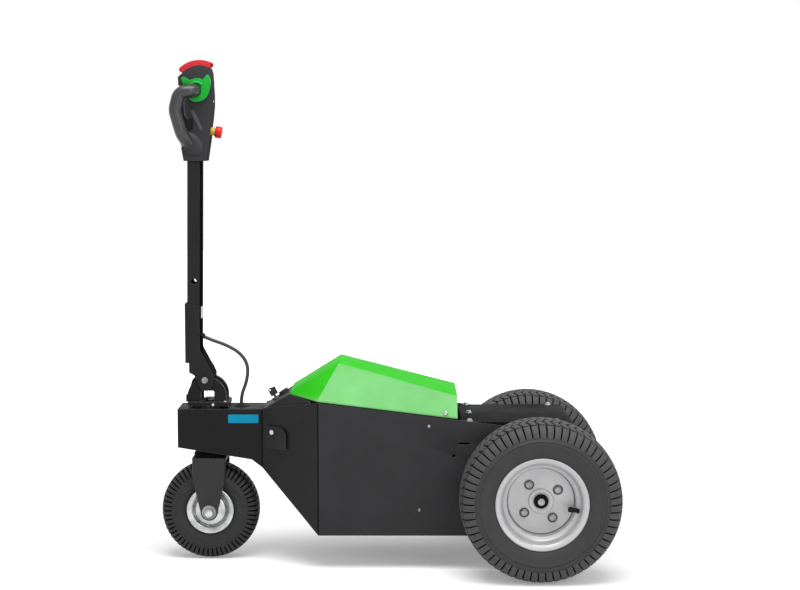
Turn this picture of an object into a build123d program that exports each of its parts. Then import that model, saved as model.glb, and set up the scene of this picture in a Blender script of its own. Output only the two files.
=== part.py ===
from build123d import *
import math
import os

# Pedestrian electric tow tractor: driven rear axle, one steered front wheel, tilting tiller.
# Millimetres. The origin lies on the floor below the middle of the machine.
# X runs from the tiller at the front (minus) to the hitch at the rear (plus).
# Y runs across, with the left side at minus Y. Z is up.

# Running gear
WHEELBASE = 840.0
FRONT_TYRE_R = 127.0
FRONT_TYRE_W = 85.0
REAR_TYRE_R = 201.0
REAR_TYRE_W = 165.0
FRONT_AXLE_X = -(WHEELBASE + REAR_TYRE_R + FRONT_TYRE_R) / 2 + FRONT_TYRE_R
REAR_AXLE_X = FRONT_AXLE_X + WHEELBASE

# Clearances
RUN_FIT = 0.05
SLIP = 0.3
SIDE_PLAY = 1.0

# Body shell
SHEET = 4.0
BODY_HALF = 148.0
BODY_BOTTOM = 87.0
FOLD_X = FRONT_AXLE_X + 286.0
FOLD_TOP = 426.0
RIM_SLOPE = 0.1225
CHEEK_X = FRONT_AXLE_X + 141.0
CHEEK_TOP = 399.0
CHEEK_BOTTOM = 242.0
REAR_WALL_X = REAR_AXLE_X + 95.0
FLOOR_KINK_X = REAR_AXLE_X + 40.0
REAR_WALL_BOTTOM = 150.0
TYRE_GAP = 12.5
TRACK = 2 * (BODY_HALF + TYRE_GAP) + REAR_TYRE_W

# Neck
NECK_HALF = 56.0
NECK_WALL = 5.0
NECK_TOP = 396.0
NECK_FRONT_X = FRONT_AXLE_X - 79.0
NECK_FRONT_BOTTOM = 296.0
NECK_REAR_BOTTOM = 265.0
NECK_INNER_X = CHEEK_X + 31.0

# Small cut-outs in each flank
FLANK_HOLE_X = REAR_AXLE_X - 211.0
FLANK_HOLE_Z = 292.0
FLANK_HOLE_R = 4.0
FLANK_SLOT_X = REAR_AXLE_X - 185.0
FLANK_SLOT_Z = 323.5
FLANK_SLOT_LENGTH = 28.0
FLANK_SLOT_WIDTH = 5.0

# Key, its bow drawn upright on the middle of the switch
KEY_BOW = [(-8.5, 10), (11, 10.5), (12.5, 28.5), (-3.5, 32.5), (-7, 30.5), (-8, 27)]
KEY_HOLE = (-3.5, 27)
KEY_T = 4.0

# Hood
HOOD_SHEET = 3.0
HOOD_GAP = 3.0
HOOD_LIP = 4.0
HOOD_FRONT_X = FOLD_X - 73.5
HOOD_FRONT_HALF = 80.0
HOOD_FRONT_Z = FOLD_TOP + 18.0
HOOD_PEAK_X = FOLD_X + 51.5
HOOD_PEAK_HALF = 87.0
HOOD_PEAK_Z = FOLD_TOP + 90.5
HOOD_REAR_X = REAR_AXLE_X - 202.0
HOOD_REAR_Z = FOLD_TOP + 9.5

# Rear deck
DECK_TOP = 378.0
DECK_FRONT_X = HOOD_REAR_X + 9.0
DECK_BEND = 22.0
DECK_FLANGE = 34.0

# Inner masses
BATTERY_LENGTH = 290.0
BATTERY_HALF = BODY_HALF - 23.0
BATTERY_HEIGHT = 235.0
DRIVE_LENGTH = 140.0
DRIVE_HALF = BODY_HALF - 38.0
DRIVE_HEIGHT = 160.0
AXLE_TUBE_R = 30.0
AXLE_TUBE_REACH = BODY_HALF + 40.0
SPINDLE_R = 17.0

# Hitch
HITCH_FACE_T = 10.0
HITCH_FACE_HALF = 50.0
HITCH_FACE_BOTTOM = 190.0
HITCH_FACE_TOP = 300.0
TONGUE_HALF = 30.0
TONGUE_REACH = 32.0
TONGUE_BOTTOM = 236.0
TONGUE_T = 12.0
TOW_PIN_R = 12.5

# Steering head and fork
STEM_R = 17.0
HEAD_TUBE_R = 30.0
HEAD_FLANGE_R = 45.0
HEAD_FLANGE_T = 5.5
TYRE_TO_CROWN = 5.0
CROWN_T = 8.0
FORK_WIDTH = 87.0
LEG_OUTER = 57.0
LEG_T = 9.0
LEG_SHOULDER_Z = 221.0
LEG_END_R = 22.0
COLLAR_R = 25.0
AXLE_BOLT_R = 10.0
AXLE_WASHER_R = 18.5

# Tiller base and hinge
PIVOT_X = FRONT_AXLE_X - 9.0
PIVOT_Z = NECK_TOP + 73.0
PIVOT_R = 6.0
PIVOT_HEAD_R = 8.5
BASE_PLATE_T = 10.0
BASE_PLATE_FRONT = -54.0
HEEL_FRONT = -59.0
BASE_PLATE_REAR = 52.0
BASE_PLATE_HALF = 45.0
CHEEK_PLATE_T = 8.0
ARCH_R = 50.5
ARCH_X = FRONT_AXLE_X - 5.0
ARCH_Z = NECK_TOP + 29.0
WINDOW_X = ARCH_X + 2.0
WINDOW_WIDTH = 26.6
WINDOW_TOP = NECK_TOP + 44.5
STEM_NUT_R = 12.5
STEM_NUT_T = 6.0

# Mast and its bracket
MAST_X = FRONT_AXLE_X - 38.5
MAST_DEPTH = 34.0
MAST_WIDTH = 70.0
CHEEK_PLATE_OUTER = MAST_WIDTH / 2 - SIDE_PLAY
MAST_WALL = 3.0
MAST_BOTTOM = PIVOT_Z + 51.0
MAST_TOP = 1060.0
BRACKET_T = 4.0
BRACKET_TOP = 667.0
BRACKET_WEB_BOTTOM = PIVOT_Z + 44.0
MAST_HOLE_Z = 723.5
MAST_HOLE_R = 7.0

# Tiller head, measured from the top of the mast
HEAD_HALF = MAST_WIDTH / 2 + 4.0
HEAD_WEB_HALF = 18.0
CAP_OUTER_R = 74.0
CAP_INNER_R = 58.0
GRIP_R = 16.0
GRIP_Y = 68.0
HUB_X = MAST_X + 11.5
HUB_Z = MAST_TOP + 149.5
THROTTLE_T = 9.5
STOP_TILT = 9.0

# Steering cable
CABLE_R = 4.5
GLAND_Z = 580.0
GLAND_TILT = 24.0
GLAND_REACH = 8.0
GROMMET_X = FRONT_AXLE_X + 80.5
GROMMET_R = 20.0
GROMMET_TOP = NECK_TOP + 6.0

# Charging flap on the left cheek, measured along the cheek from its front edge
FLAP_STAND_OFF = 4.0
FLAP_T = 3.0
FLAP_SCREW_U = 34.0
FLAP_SCREW_Z = 341.0
FLAP_LEFT = 25.0
FLAP_RIGHT = 41.0
FLAP_UP = 14.0
FLAP_DOWN = 48.0
FLAP_PIN_R = 3.0
SOCKET_R = 14.0

FRONT_AXLE_Z = FRONT_TYRE_R
REAR_AXLE_Z = REAR_TYRE_R
CROWN_BOTTOM = 2 * FRONT_TYRE_R + TYRE_TO_CROWN
CROWN_TOP = CROWN_BOTTOM + CROWN_T
BASE_PLATE_Z = NECK_TOP + HEAD_FLANGE_T + 0.5

parts = {}


def side_prism(points, y_from, y_to):
    """Extrude an outline drawn in X and Z between two Y planes."""
    face = make_face(Plane.XZ * Polyline(*points, close=True))
    return Pos(0, y_to, 0) * extrude(face, amount=y_to - y_from, dir=(0, -1, 0))


def side_sketch_prism(sketch, y_from, y_to):
    """Extrude a sketch drawn in X and Z between two Y planes."""
    return Pos(0, y_to, 0) * extrude(Plane.XZ * sketch, amount=y_to - y_from, dir=(0, -1, 0))


def block(x, y, z):
    """A box given by its ranges along X, Y and Z."""
    solid = Box(x[1] - x[0], y[1] - y[0], z[1] - z[0])
    return Pos((x[0] + x[1]) / 2, (y[0] + y[1]) / 2, (z[0] + z[1]) / 2) * solid


def offset_points(points, distance):
    """Move an open run of points sideways, to its left, with mitred corners."""
    moved = []
    for i, point in enumerate(points):
        before = points[max(i - 1, 0)]
        after = points[min(i + 1, len(points) - 1)]
        ways = []
        for a, b in ((before, point), (point, after)):
            length = math.dist(a, b)
            if length:
                ways.append(((b[0] - a[0]) / length, (b[1] - a[1]) / length))
        first, last = ways[0], ways[-1]
        normal = (-(first[1] + last[1]), first[0] + last[0])
        scale = 2 * distance / (normal[0] ** 2 + normal[1] ** 2)
        moved.append((point[0] + normal[0] * scale, point[1] + normal[1] * scale))
    return moved


def strip(points, thickness):
    """Closed outline of a bent sheet whose outer face follows the points."""
    return list(points) + offset_points(points, thickness)[::-1]


def turned(sketch, centre, side):
    """Revolve a sketch of radius and reach about a wheel axle, outwards to the given side."""
    solid = revolve(Plane.XZ * sketch, axis=Axis.Z)
    return Pos(*centre) * Rot(X=-90 * side) * solid


def cross_cylinder(radius, x, z, y_from, y_to):
    """A cylinder along Y."""
    return Pos(x, (y_from + y_to) / 2, z) * Rot(X=90) * Cylinder(radius, y_to - y_from)


def upright_cylinder(radius, x, y, z_from, z_to):
    """A cylinder along Z."""
    return Pos(x, y, (z_from + z_to) / 2) * Cylinder(radius, z_to - z_from)


def mirrored(solid):
    """The same solid on the other side of the machine."""
    return mirror(solid, about=Plane.XZ)


def behind(solid, points, inset=0.0):
    """Keep what lies inside a facet whose three points run counter-clockwise from outside."""
    a, b, c = (Vector(*p) for p in points)
    normal = (b - a).cross(c - a).normalized()
    plane = Plane(origin=a - normal * inset, z_dir=normal)
    return split(solid, bisect_by=plane, keep=Keep.BOTTOM)


def rim_z(x):
    """Height of the side plates' top edge behind the fold."""
    return FOLD_TOP - RIM_SLOPE * (x - FOLD_X)


def nose_z(x):
    """Height of the underside of the sloping nose."""
    return BODY_BOTTOM + (CHEEK_BOTTOM - BODY_BOTTOM) * (FOLD_X - x) / (FOLD_X - CHEEK_X)


def shell_plan():
    """Outer face of the left side plate, from its front edge to the rear."""
    return [(CHEEK_X, -NECK_HALF - SHEET), (FOLD_X, -BODY_HALF), (REAR_WALL_X, -BODY_HALF)]


def inner_plan_prism(z_from, z_to):
    """The room between the two side plates."""
    left = offset_points(shell_plan(), SHEET)
    right = [(x, -y) for x, y in reversed(left)]
    face = make_face(Polyline(*left, *right, close=True))
    return Pos(0, 0, z_from) * extrude(face, amount=z_to - z_from, dir=(0, 0, 1))


def cheek_plane(stand_off=0.0):
    """Plane on the left cheek: X along the cheek to the rear, Y up, Z outwards."""
    start, end = (Vector(x, y, 0) for x, y in shell_plan()[:2])
    along = (end - start).normalized()
    outwards = along.cross(Vector(0, 0, 1))
    return Plane(origin=start + outwards * stand_off, x_dir=along, z_dir=outwards)


def build_side_plates():
    """Folded side plates: a flat flank and a cheek that runs in to the neck."""
    face = make_face(Polyline(*strip(shell_plan(), SHEET), close=True))
    plate = extrude(face, amount=HOOD_PEAK_Z, dir=(0, 0, 1))
    outline = [
        (CHEEK_X, CHEEK_TOP),
        (CHEEK_X, CHEEK_BOTTOM),
        (FOLD_X, BODY_BOTTOM),
        (FLOOR_KINK_X, BODY_BOTTOM),
        (REAR_WALL_X, REAR_WALL_BOTTOM),
        (REAR_WALL_X, rim_z(REAR_WALL_X)),
        (FOLD_X, FOLD_TOP),
    ]
    plate &= side_prism(outline, -BODY_HALF, 0)
    axle = cross_cylinder(AXLE_TUBE_R + SLIP, REAR_AXLE_X, REAR_AXLE_Z, -BODY_HALF - 1, 0)
    plate -= axle
    plate -= cross_cylinder(FLANK_HOLE_R, FLANK_HOLE_X, FLANK_HOLE_Z, -BODY_HALF - 1, 0)
    slot = Pos(FLANK_SLOT_X, FLANK_SLOT_Z) * SlotOverall(FLANK_SLOT_LENGTH, FLANK_SLOT_WIDTH)
    plate -= side_sketch_prism(slot, -BODY_HALF - 1, 0)
    parts["side_plate_right"] = mirrored(plate)
    socket = cheek_plane() * Pos(FLAP_SCREW_U + 11, FLAP_SCREW_Z - 23) * Cylinder(SOCKET_R + SLIP, 3 * SHEET)
    parts["side_plate_left"] = plate - socket


def build_floor():
    """Floor sheet with the sloping nose under the neck and a rising tail."""
    path = [
        (CHEEK_X, nose_z(CHEEK_X)),
        (FOLD_X, BODY_BOTTOM),
        (FLOOR_KINK_X, BODY_BOTTOM),
        (REAR_WALL_X - SHEET, REAR_WALL_BOTTOM),
    ]
    sheet = side_prism(strip(path, SHEET), -BODY_HALF, BODY_HALF)
    parts["floor_plate"] = sheet & inner_plan_prism(0, HOOD_PEAK_Z)


def nose_top(x):
    """Height of the upper face of the sloping nose."""
    slope = math.atan2(CHEEK_BOTTOM - BODY_BOTTOM, FOLD_X - CHEEK_X)
    return nose_z(x) + SHEET / math.cos(slope)


def neck_outline(wall):
    """Side outline of the neck, moved in by a wall but left open at the rear."""
    lower = [
        (NECK_INNER_X, nose_top(NECK_INNER_X)),
        (CHEEK_X, nose_top(CHEEK_X)),
        (CHEEK_X, CHEEK_BOTTOM),
        (CHEEK_X - 30, NECK_REAR_BOTTOM),
        (NECK_FRONT_X, NECK_FRONT_BOTTOM),
        (NECK_FRONT_X, NECK_TOP),
        (NECK_INNER_X, NECK_TOP),
    ]
    return offset_points(lower, -wall) if wall else lower


def build_neck():
    """Box neck that carries the steering head and runs back between the cheeks."""
    neck = side_prism(neck_outline(0), -NECK_HALF, NECK_HALF)
    room = NECK_HALF - NECK_WALL
    neck -= side_prism(neck_outline(NECK_WALL), -room, room)
    neck -= upright_cylinder(HEAD_TUBE_R + SLIP, FRONT_AXLE_X, 0, CROWN_TOP, NECK_TOP + 1)
    neck -= upright_cylinder(GROMMET_R / 2 + SLIP, GROMMET_X, 0, NECK_TOP - 2 * NECK_WALL, NECK_TOP + 1)
    parts["neck_box"] = neck


def build_head_tube():
    """Steering head: tube through the neck with a flange on top."""
    low = CROWN_TOP + 8
    tube = upright_cylinder(HEAD_TUBE_R, FRONT_AXLE_X, 0, low, NECK_TOP)
    tube += upright_cylinder(HEAD_FLANGE_R, FRONT_AXLE_X, 0, NECK_TOP, NECK_TOP + HEAD_FLANGE_T)
    tube -= upright_cylinder(STEM_R + RUN_FIT, FRONT_AXLE_X, 0, low - 1, NECK_TOP + HEAD_FLANGE_T + 1)
    parts["head_tube"] = tube


def hood_plan():
    """Plan of the hood from its front edge round the left side to the rear."""
    return [
        (HOOD_FRONT_X, -HOOD_FRONT_HALF),
        (FOLD_X, -BODY_HALF),
        (HOOD_REAR_X, -BODY_HALF),
    ]


def hood_plan_prism(grow):
    """Upright prism on the hood's plan, grown sideways."""
    left = [(HOOD_FRONT_X, 0)] + hood_plan() + [(HOOD_REAR_X, 0)]
    left = offset_points(left, -grow)
    right = [(x, -y) for x, y in reversed(left[1:-1])]
    face = make_face(Polyline(*left, *right, close=True))
    return extrude(face, amount=2 * HOOD_PEAK_Z, dir=(0, 0, 1))


def hood_body(inset):
    """Faceted hood as a solid, with every facet moved in by the inset."""
    lip = HOOD_GAP + HOOD_LIP
    front = Vector(HOOD_FRONT_X, -HOOD_FRONT_HALF, HOOD_FRONT_Z)
    corner = Vector(FOLD_X, -BODY_HALF, rim_z(FOLD_X) + lip)
    rear = Vector(HOOD_REAR_X, -BODY_HALF, rim_z(HOOD_REAR_X) + lip)
    peak = Vector(HOOD_PEAK_X, -HOOD_PEAK_HALF, HOOD_PEAK_Z)
    solid = hood_plan_prism(-inset)
    top = [Vector(HOOD_PEAK_X, 0, HOOD_PEAK_Z), Vector(HOOD_PEAK_X, -1, HOOD_PEAK_Z)]
    solid = behind(solid, (top[0], top[1], Vector(HOOD_REAR_X, 0, HOOD_REAR_Z)), inset)
    solid = behind(solid, (front, peak, peak + Vector(0, 1, 0)), inset)
    for facet in ((front, corner, peak), (corner, rear, peak)):
        solid = behind(solid, facet, inset)
        flipped = [Vector(p.X, -p.Y, p.Z) for p in facet][::-1]
        solid = behind(solid, flipped, inset)
    return solid


def above_rim(solid, lift):
    """Keep what stands above the side plates' top edge by the lift."""
    low = [(FOLD_X, 1, rim_z(FOLD_X) + lift), (FOLD_X, 0, rim_z(FOLD_X) + lift),
           (HOOD_REAR_X, 0, rim_z(HOOD_REAR_X) + lift)]
    return behind(solid, low[::-1])


def build_hood():
    """Sheet hood with five facets and an upright rear."""
    hood = above_rim(hood_body(0) - hood_body(HOOD_SHEET), HOOD_GAP)
    parts["hood"] = hood
    ring = hood_plan_prism(0) - hood_plan_prism(-HOOD_SHEET)
    ring = above_rim(ring, 0)
    ring -= above_rim(hood_plan_prism(1), HOOD_GAP)
    parts["hood_seal"] = ring


def dash_body(inset):
    """Sloping dash as a solid below its three facets."""
    low_front = Vector(CHEEK_X, -NECK_HALF, NECK_TOP)
    high = Vector(HOOD_FRONT_X, -HOOD_FRONT_HALF, HOOD_FRONT_Z - HOOD_LIP)
    corner = Vector(FOLD_X, -BODY_HALF, FOLD_TOP)
    solid = inner_plan_prism(NECK_TOP, HOOD_FRONT_Z + 20)
    solid = behind(solid, (low_front, high, high + Vector(0, 1, 0)), inset)
    side = (low_front, corner, high)
    solid = behind(solid, side, inset)
    return behind(solid, [Vector(p.X, -p.Y, p.Z) for p in side][::-1], inset)


def build_dash():
    """Dash sheet between the neck, the cheeks and the hood."""
    dash = dash_body(0) - dash_body(SHEET)
    parts["dash_panel"] = dash - hood_plan_prism(1.0)


def build_deck():
    """Rear deck bent down into the rear wall, with side flanges."""
    inside = BODY_HALF - SHEET
    outline = Polygon(
        (DECK_FRONT_X, REAR_WALL_BOTTOM),
        (REAR_WALL_X, REAR_WALL_BOTTOM),
        (REAR_WALL_X, DECK_TOP),
        (DECK_FRONT_X, DECK_TOP),
        align=None,
    )
    corner = outline.vertices().sort_by(Axis.X)[-2:].sort_by(Axis.Y)[-1]
    outer = side_sketch_prism(fillet(corner, DECK_BEND), -inside, inside)
    room = block(
        (DECK_FRONT_X + SHEET, REAR_WALL_X - SHEET),
        (-inside + SHEET, inside - SHEET),
        (0, DECK_TOP - SHEET),
    )
    edge = room.edges().filter_by(Axis.Y).sort_by(Axis.X)[-2:].sort_by(Axis.Z)[-1]
    deck = outer - fillet(edge, DECK_BEND - SHEET)
    low = block((0, REAR_WALL_X - SHEET), (-BODY_HALF, BODY_HALF), (0, DECK_TOP - DECK_FLANGE))
    beam = block((0, DECK_FRONT_X + 36), (-BODY_HALF, BODY_HALF), (0, DECK_TOP - SHEET))
    parts["rear_deck"] = deck - low - beam
    beam_x = (DECK_FRONT_X + 15, DECK_FRONT_X + 32)
    parts["deck_beam"] = block(beam_x, (-inside, inside), (DECK_TOP - SHEET - 20, DECK_TOP - SHEET))


def build_inner_masses():
    """Battery and drive unit, each at its real place."""
    floor = BODY_BOTTOM + SHEET
    battery_x = (FOLD_X + 31, FOLD_X + 31 + BATTERY_LENGTH)
    parts["battery_pack"] = block(battery_x, (-BATTERY_HALF, BATTERY_HALF), (floor, floor + BATTERY_HEIGHT))
    drive = block(
        (REAR_AXLE_X - DRIVE_LENGTH / 2, REAR_AXLE_X + DRIVE_LENGTH / 2),
        (-DRIVE_HALF, DRIVE_HALF),
        (REAR_AXLE_Z - DRIVE_HEIGHT / 2 + 12, REAR_AXLE_Z + DRIVE_HEIGHT / 2 + 12),
    )
    parts["drive_unit"] = drive
    tube = cross_cylinder(AXLE_TUBE_R, REAR_AXLE_X, REAR_AXLE_Z, -AXLE_TUBE_REACH, -DRIVE_HALF)
    bore_end = -DRIVE_HALF - 10
    tube -= cross_cylinder(SPINDLE_R + RUN_FIT, REAR_AXLE_X, REAR_AXLE_Z, -AXLE_TUBE_REACH - 1, bore_end)
    parts["axle_tube_left"] = tube
    parts["axle_tube_right"] = mirrored(tube)


def build_hitch():
    """Tow bracket on the rear wall: a drilled tongue with two gussets."""
    face_x = REAR_WALL_X + HITCH_FACE_T
    tongue_z = (TONGUE_BOTTOM, TONGUE_BOTTOM + TONGUE_T)
    bracket = block(
        (REAR_WALL_X, face_x),
        (-HITCH_FACE_HALF, HITCH_FACE_HALF),
        (HITCH_FACE_BOTTOM, HITCH_FACE_TOP),
    )
    tongue = block((face_x, face_x + TONGUE_REACH), (-TONGUE_HALF, TONGUE_HALF), tongue_z)
    tongue += upright_cylinder(TONGUE_HALF, face_x + TONGUE_REACH, 0, *tongue_z)
    tongue -= upright_cylinder(TOW_PIN_R, face_x + TONGUE_REACH, 0, tongue_z[0] - 1, tongue_z[1] + 1)
    gusset_low = TONGUE_BOTTOM - 36
    gusset = side_prism(
        [(face_x, gusset_low), (face_x + 12, TONGUE_BOTTOM), (face_x, TONGUE_BOTTOM)],
        -TONGUE_HALF + 4,
        -TONGUE_HALF + 12,
    )
    bracket += tongue
    bracket += gusset
    bracket += mirrored(gusset)
    parts["hitch_bracket"] = bracket


def dash_plane(x, y):
    """Plane on the middle facet of the dash at the given X and Y."""
    low = Vector(CHEEK_X, 0, NECK_TOP)
    high = Vector(HOOD_FRONT_X, 0, HOOD_FRONT_Z - HOOD_LIP)
    along = (high - low).normalized()
    z = low.Z + (x - low.X) * along.Z / along.X
    return Plane(origin=(x, y, z), x_dir=along, z_dir=Vector(-along.Z, 0, along.X))


def build_dash_controls():
    """Key switch with its key and the round charge dial."""
    switch = dash_plane(FRONT_AXLE_X + 171, 10)
    parts["key_switch"] = switch * Pos(0, 0, 2.5) * Cylinder(11, 5)
    bow = Polygon(*KEY_BOW, align=None) - Pos(*KEY_HOLE) * Circle(2.3)
    bow = side_sketch_prism(bow, -KEY_T / 2, KEY_T / 2)
    blade = Pos(0, 0, 8) * Box(6, 2.5, 6)
    parts["key"] = switch * (blade + bow)
    dial = dash_plane(FRONT_AXLE_X + 192, 16)
    parts["charge_dial"] = dial * (Pos(0, 0, 4.5) * Cylinder(13.5, 9) - Pos(0, 0, 9) * Cylinder(10.5, 3))


def build_fork():
    """Bent plate fork with tapering legs."""
    half = FORK_WIDTH / 2
    leg_in = LEG_OUTER - LEG_T
    arm = side_prism(
        [
            (FRONT_AXLE_X - half, CROWN_TOP),
            (FRONT_AXLE_X - half, LEG_SHOULDER_Z),
            (FRONT_AXLE_X - LEG_END_R, FRONT_AXLE_Z),
            (FRONT_AXLE_X + LEG_END_R, FRONT_AXLE_Z),
            (FRONT_AXLE_X + half, LEG_SHOULDER_Z),
            (FRONT_AXLE_X + half, CROWN_TOP),
        ],
        -LEG_OUTER,
        LEG_OUTER,
    )
    arm += cross_cylinder(LEG_END_R, FRONT_AXLE_X, FRONT_AXLE_Z, -LEG_OUTER, LEG_OUTER)
    arm -= block(
        (FRONT_AXLE_X - FORK_WIDTH, FRONT_AXLE_X + FORK_WIDTH),
        (-leg_in, leg_in),
        (0, CROWN_BOTTOM),
    )
    arm -= cross_cylinder(AXLE_BOLT_R, FRONT_AXLE_X, FRONT_AXLE_Z, -LEG_OUTER - 1, LEG_OUTER + 1)
    upright = arm.edges().filter_by(Axis.Z)
    outer = [e for e in upright if abs(e.center().Y) > LEG_OUTER - 1 and e.center().Z > LEG_SHOULDER_Z]
    parts["fork"] = fillet(outer, LEG_T - 1)


def build_stem():
    """Steering stem from the fork crown through the head to the tiller base."""
    stem = upright_cylinder(STEM_R, FRONT_AXLE_X, 0, CROWN_TOP, BASE_PLATE_Z + BASE_PLATE_T)
    stem += upright_cylinder(COLLAR_R, FRONT_AXLE_X, 0, CROWN_TOP, CROWN_TOP + 8 - SLIP)
    nut_z = BASE_PLATE_Z + BASE_PLATE_T
    stem += upright_cylinder(STEM_NUT_R, FRONT_AXLE_X, 0, nut_z, nut_z + STEM_NUT_T)
    parts["steering_stem"] = stem


def build_front_axle():
    """Front axle bolt with washers and the spacers beside the hub."""
    leg_in = LEG_OUTER - LEG_T
    bolt = cross_cylinder(AXLE_BOLT_R, FRONT_AXLE_X, FRONT_AXLE_Z, -LEG_OUTER - 12, LEG_OUTER + 12)
    for side in (-1, 1):
        ends = sorted((side * LEG_OUTER, side * (LEG_OUTER + 3)))
        bolt += cross_cylinder(AXLE_WASHER_R, FRONT_AXLE_X, FRONT_AXLE_Z, *ends)
        spacer = sorted((side * (leg_in - 3), side * leg_in))
        bolt += cross_cylinder(15, FRONT_AXLE_X, FRONT_AXLE_Z, *spacer)
        head = Rot(X=90) * extrude(RegularPolygon(12, 6), amount=7)
        bolt += Pos(FRONT_AXLE_X, side * (LEG_OUTER + 3) + (7 if side > 0 else 0), FRONT_AXLE_Z) * head
    parts["front_axle"] = bolt


def tyre_section(outer_r, width, bead_r, bead_half, wall):
    """Half-open section of a pneumatic tyre, as radius and reach."""
    half = width / 2
    tread = half - 0.2 * half
    shoulder_r = outer_r - 0.022 * outer_r
    belly_r = (outer_r + bead_r) / 2
    outer = [
        Line((bead_r, bead_half - wall), (bead_r, bead_half)),
        Line((bead_r, bead_half), (bead_r + wall, bead_half + 1)),
        ThreePointArc((bead_r + wall, bead_half + 1), (belly_r, half), (shoulder_r - wall, half - 3)),
        ThreePointArc(
            (shoulder_r - wall, half - 3),
            (shoulder_r - 0.25 * wall, half - 3 - 0.4 * (half - 3 - tread)),
            (shoulder_r, tread),
        ),
    ]
    sides = outer + [mirror(e, about=Plane.XZ) for e in outer]
    crown = ThreePointArc((shoulder_r, tread), (outer_r, 0), (shoulder_r, -tread))
    liner_r = shoulder_r - 1.4 * wall
    inner = ThreePointArc((bead_r, bead_half - wall), (belly_r, half - wall), (liner_r, tread - 3))
    under = ThreePointArc((liner_r, tread - 3), (outer_r - 1.6 * wall, 0), (liner_r, 3 - tread))
    edges = sides + [crown, inner, mirror(inner, about=Plane.XZ), under]
    return make_face(edges)


def rim_section(flange_r, seat_r, half, well_r, sheet):
    """Rolled rim from flange to flange, as radius and reach."""
    path = [
        (flange_r, half),
        (seat_r, half - 4),
        (seat_r, half - 22),
        (well_r, half - 32),
        (well_r, 32 - half),
        (seat_r, 22 - half),
        (seat_r, 4 - half),
        (flange_r, -half),
    ]
    return make_face(Polyline(*strip(path, -sheet), close=True))


def build_front_wheel():
    """Small steered wheel: tyre, rim and hub."""
    centre = (FRONT_AXLE_X, 0, FRONT_AXLE_Z)
    tyre = tyre_section(FRONT_TYRE_R, FRONT_TYRE_W, 51, 28, 9)
    parts["front_tyre"] = turned(tyre, centre, 1)
    path = [(61, 32), (50.7, 30), (50.7, 20), (36, 10), (36, -10), (50.7, -20), (50.7, -30), (61, -32)]
    rim = turned(make_face(Polyline(*strip(path, -2.5), close=True)), centre, 1)
    hub_half = LEG_OUTER - LEG_T - 3 - SLIP
    rim += cross_cylinder(22, FRONT_AXLE_X, FRONT_AXLE_Z, -hub_half, hub_half)
    rim += cross_cylinder(36, FRONT_AXLE_X, FRONT_AXLE_Z, -6, 6)
    rim -= cross_cylinder(AXLE_BOLT_R + RUN_FIT, FRONT_AXLE_X, FRONT_AXLE_Z, -hub_half - 1, hub_half + 1)
    parts["front_rim"] = rim


def build_rear_wheels():
    """Driven wheels: lugged tyre, deep rim and hub with its spindle."""
    for side, name in ((-1, "left"), (1, "right")):
        centre = (REAR_AXLE_X, side * TRACK / 2, REAR_AXLE_Z)
        tyre = tyre_section(REAR_TYRE_R, REAR_TYRE_W, 101.6, 64, 12)
        parts["rear_tyre_" + name] = turned(tyre, centre, side)
        rim = turned(rim_section(114, 101.3, 69, 82, 3.5), centre, side)
        disc = Pos(0, 0, 17) * (Cylinder(82, 5) - Cylinder(30, 6))
        for i in range(4):
            disc -= Pos(0, 0, 17) * Rot(Z=35 + 90 * i) * Pos(50, 0, 0) * Cylinder(6.5, 6)
        rim += Pos(*centre) * Rot(X=-90 * side) * disc
        parts["rear_rim_" + name] = rim
        reach = TRACK / 2 - AXLE_TUBE_REACH - SIDE_PLAY
        hub = Pos(0, 0, (14.5 - reach) / 2) * Cylinder(62, 14.5 + reach)
        hub += Pos(0, 0, 17) * Cylinder(29, 14)
        hub += Pos(0, 0, 28) * Cylinder(16, 10)
        spindle = TRACK / 2 - DRIVE_HALF - 14
        hub += Pos(0, 0, -spindle / 2) * Cylinder(SPINDLE_R, spindle)
        parts["rear_hub_" + name] = Pos(*centre) * Rot(X=-90 * side) * hub


def build_tiller_base():
    """Portal with two round-topped cheeks on the steering plate."""
    x = FRONT_AXLE_X
    top = BASE_PLATE_Z + BASE_PLATE_T
    plate = block(
        (x + BASE_PLATE_FRONT, x + BASE_PLATE_REAR),
        (-BASE_PLATE_HALF, BASE_PLATE_HALF),
        (BASE_PLATE_Z, top),
    )
    plate -= upright_cylinder(STEM_R, x, 0, BASE_PLATE_Z - 1, top + 1)
    outer = CHEEK_PLATE_OUTER
    inner = outer - CHEEK_PLATE_T
    cheek = block((ARCH_X - ARCH_R, ARCH_X + ARCH_R), (-outer, -inner), (top, ARCH_Z))
    arch = cross_cylinder(ARCH_R, ARCH_X, ARCH_Z, -outer, -inner)
    cheek += arch - block((x - 2 * ARCH_R, x + 2 * ARCH_R), (-BODY_HALF, 0), (0, top))
    heel_rear = ARCH_X - ARCH_R / 2
    heel = [
        (x + HEEL_FRONT, top),
        (x + HEEL_FRONT, ARCH_Z + 4),
        (x + HEEL_FRONT + 6, ARCH_Z + 10),
        (heel_rear, ARCH_Z + 20),
        (heel_rear, top),
    ]
    cheek += side_prism(heel, -outer, -inner)
    window = RectangleRounded(WINDOW_WIDTH, 2 * (WINDOW_TOP - top), 4)
    cheek -= side_sketch_prism(Pos(WINDOW_X, top) * window, -outer - 1, 0)
    cheek -= cross_cylinder(PIVOT_R + RUN_FIT, PIVOT_X, PIVOT_Z, -outer - 1, 0)
    parts["tiller_base"] = plate + cheek + mirrored(cheek)
    buffer = [
        (x - 49, top),
        (x - 49, ARCH_Z + 25),
        (x - 43, PIVOT_Z),
        (x - 38, PIVOT_Z),
        (x - 32, ARCH_Z + 20),
        (x - 32, top),
    ]
    parts["tilt_buffer"] = side_prism(buffer, -inner, inner)


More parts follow.
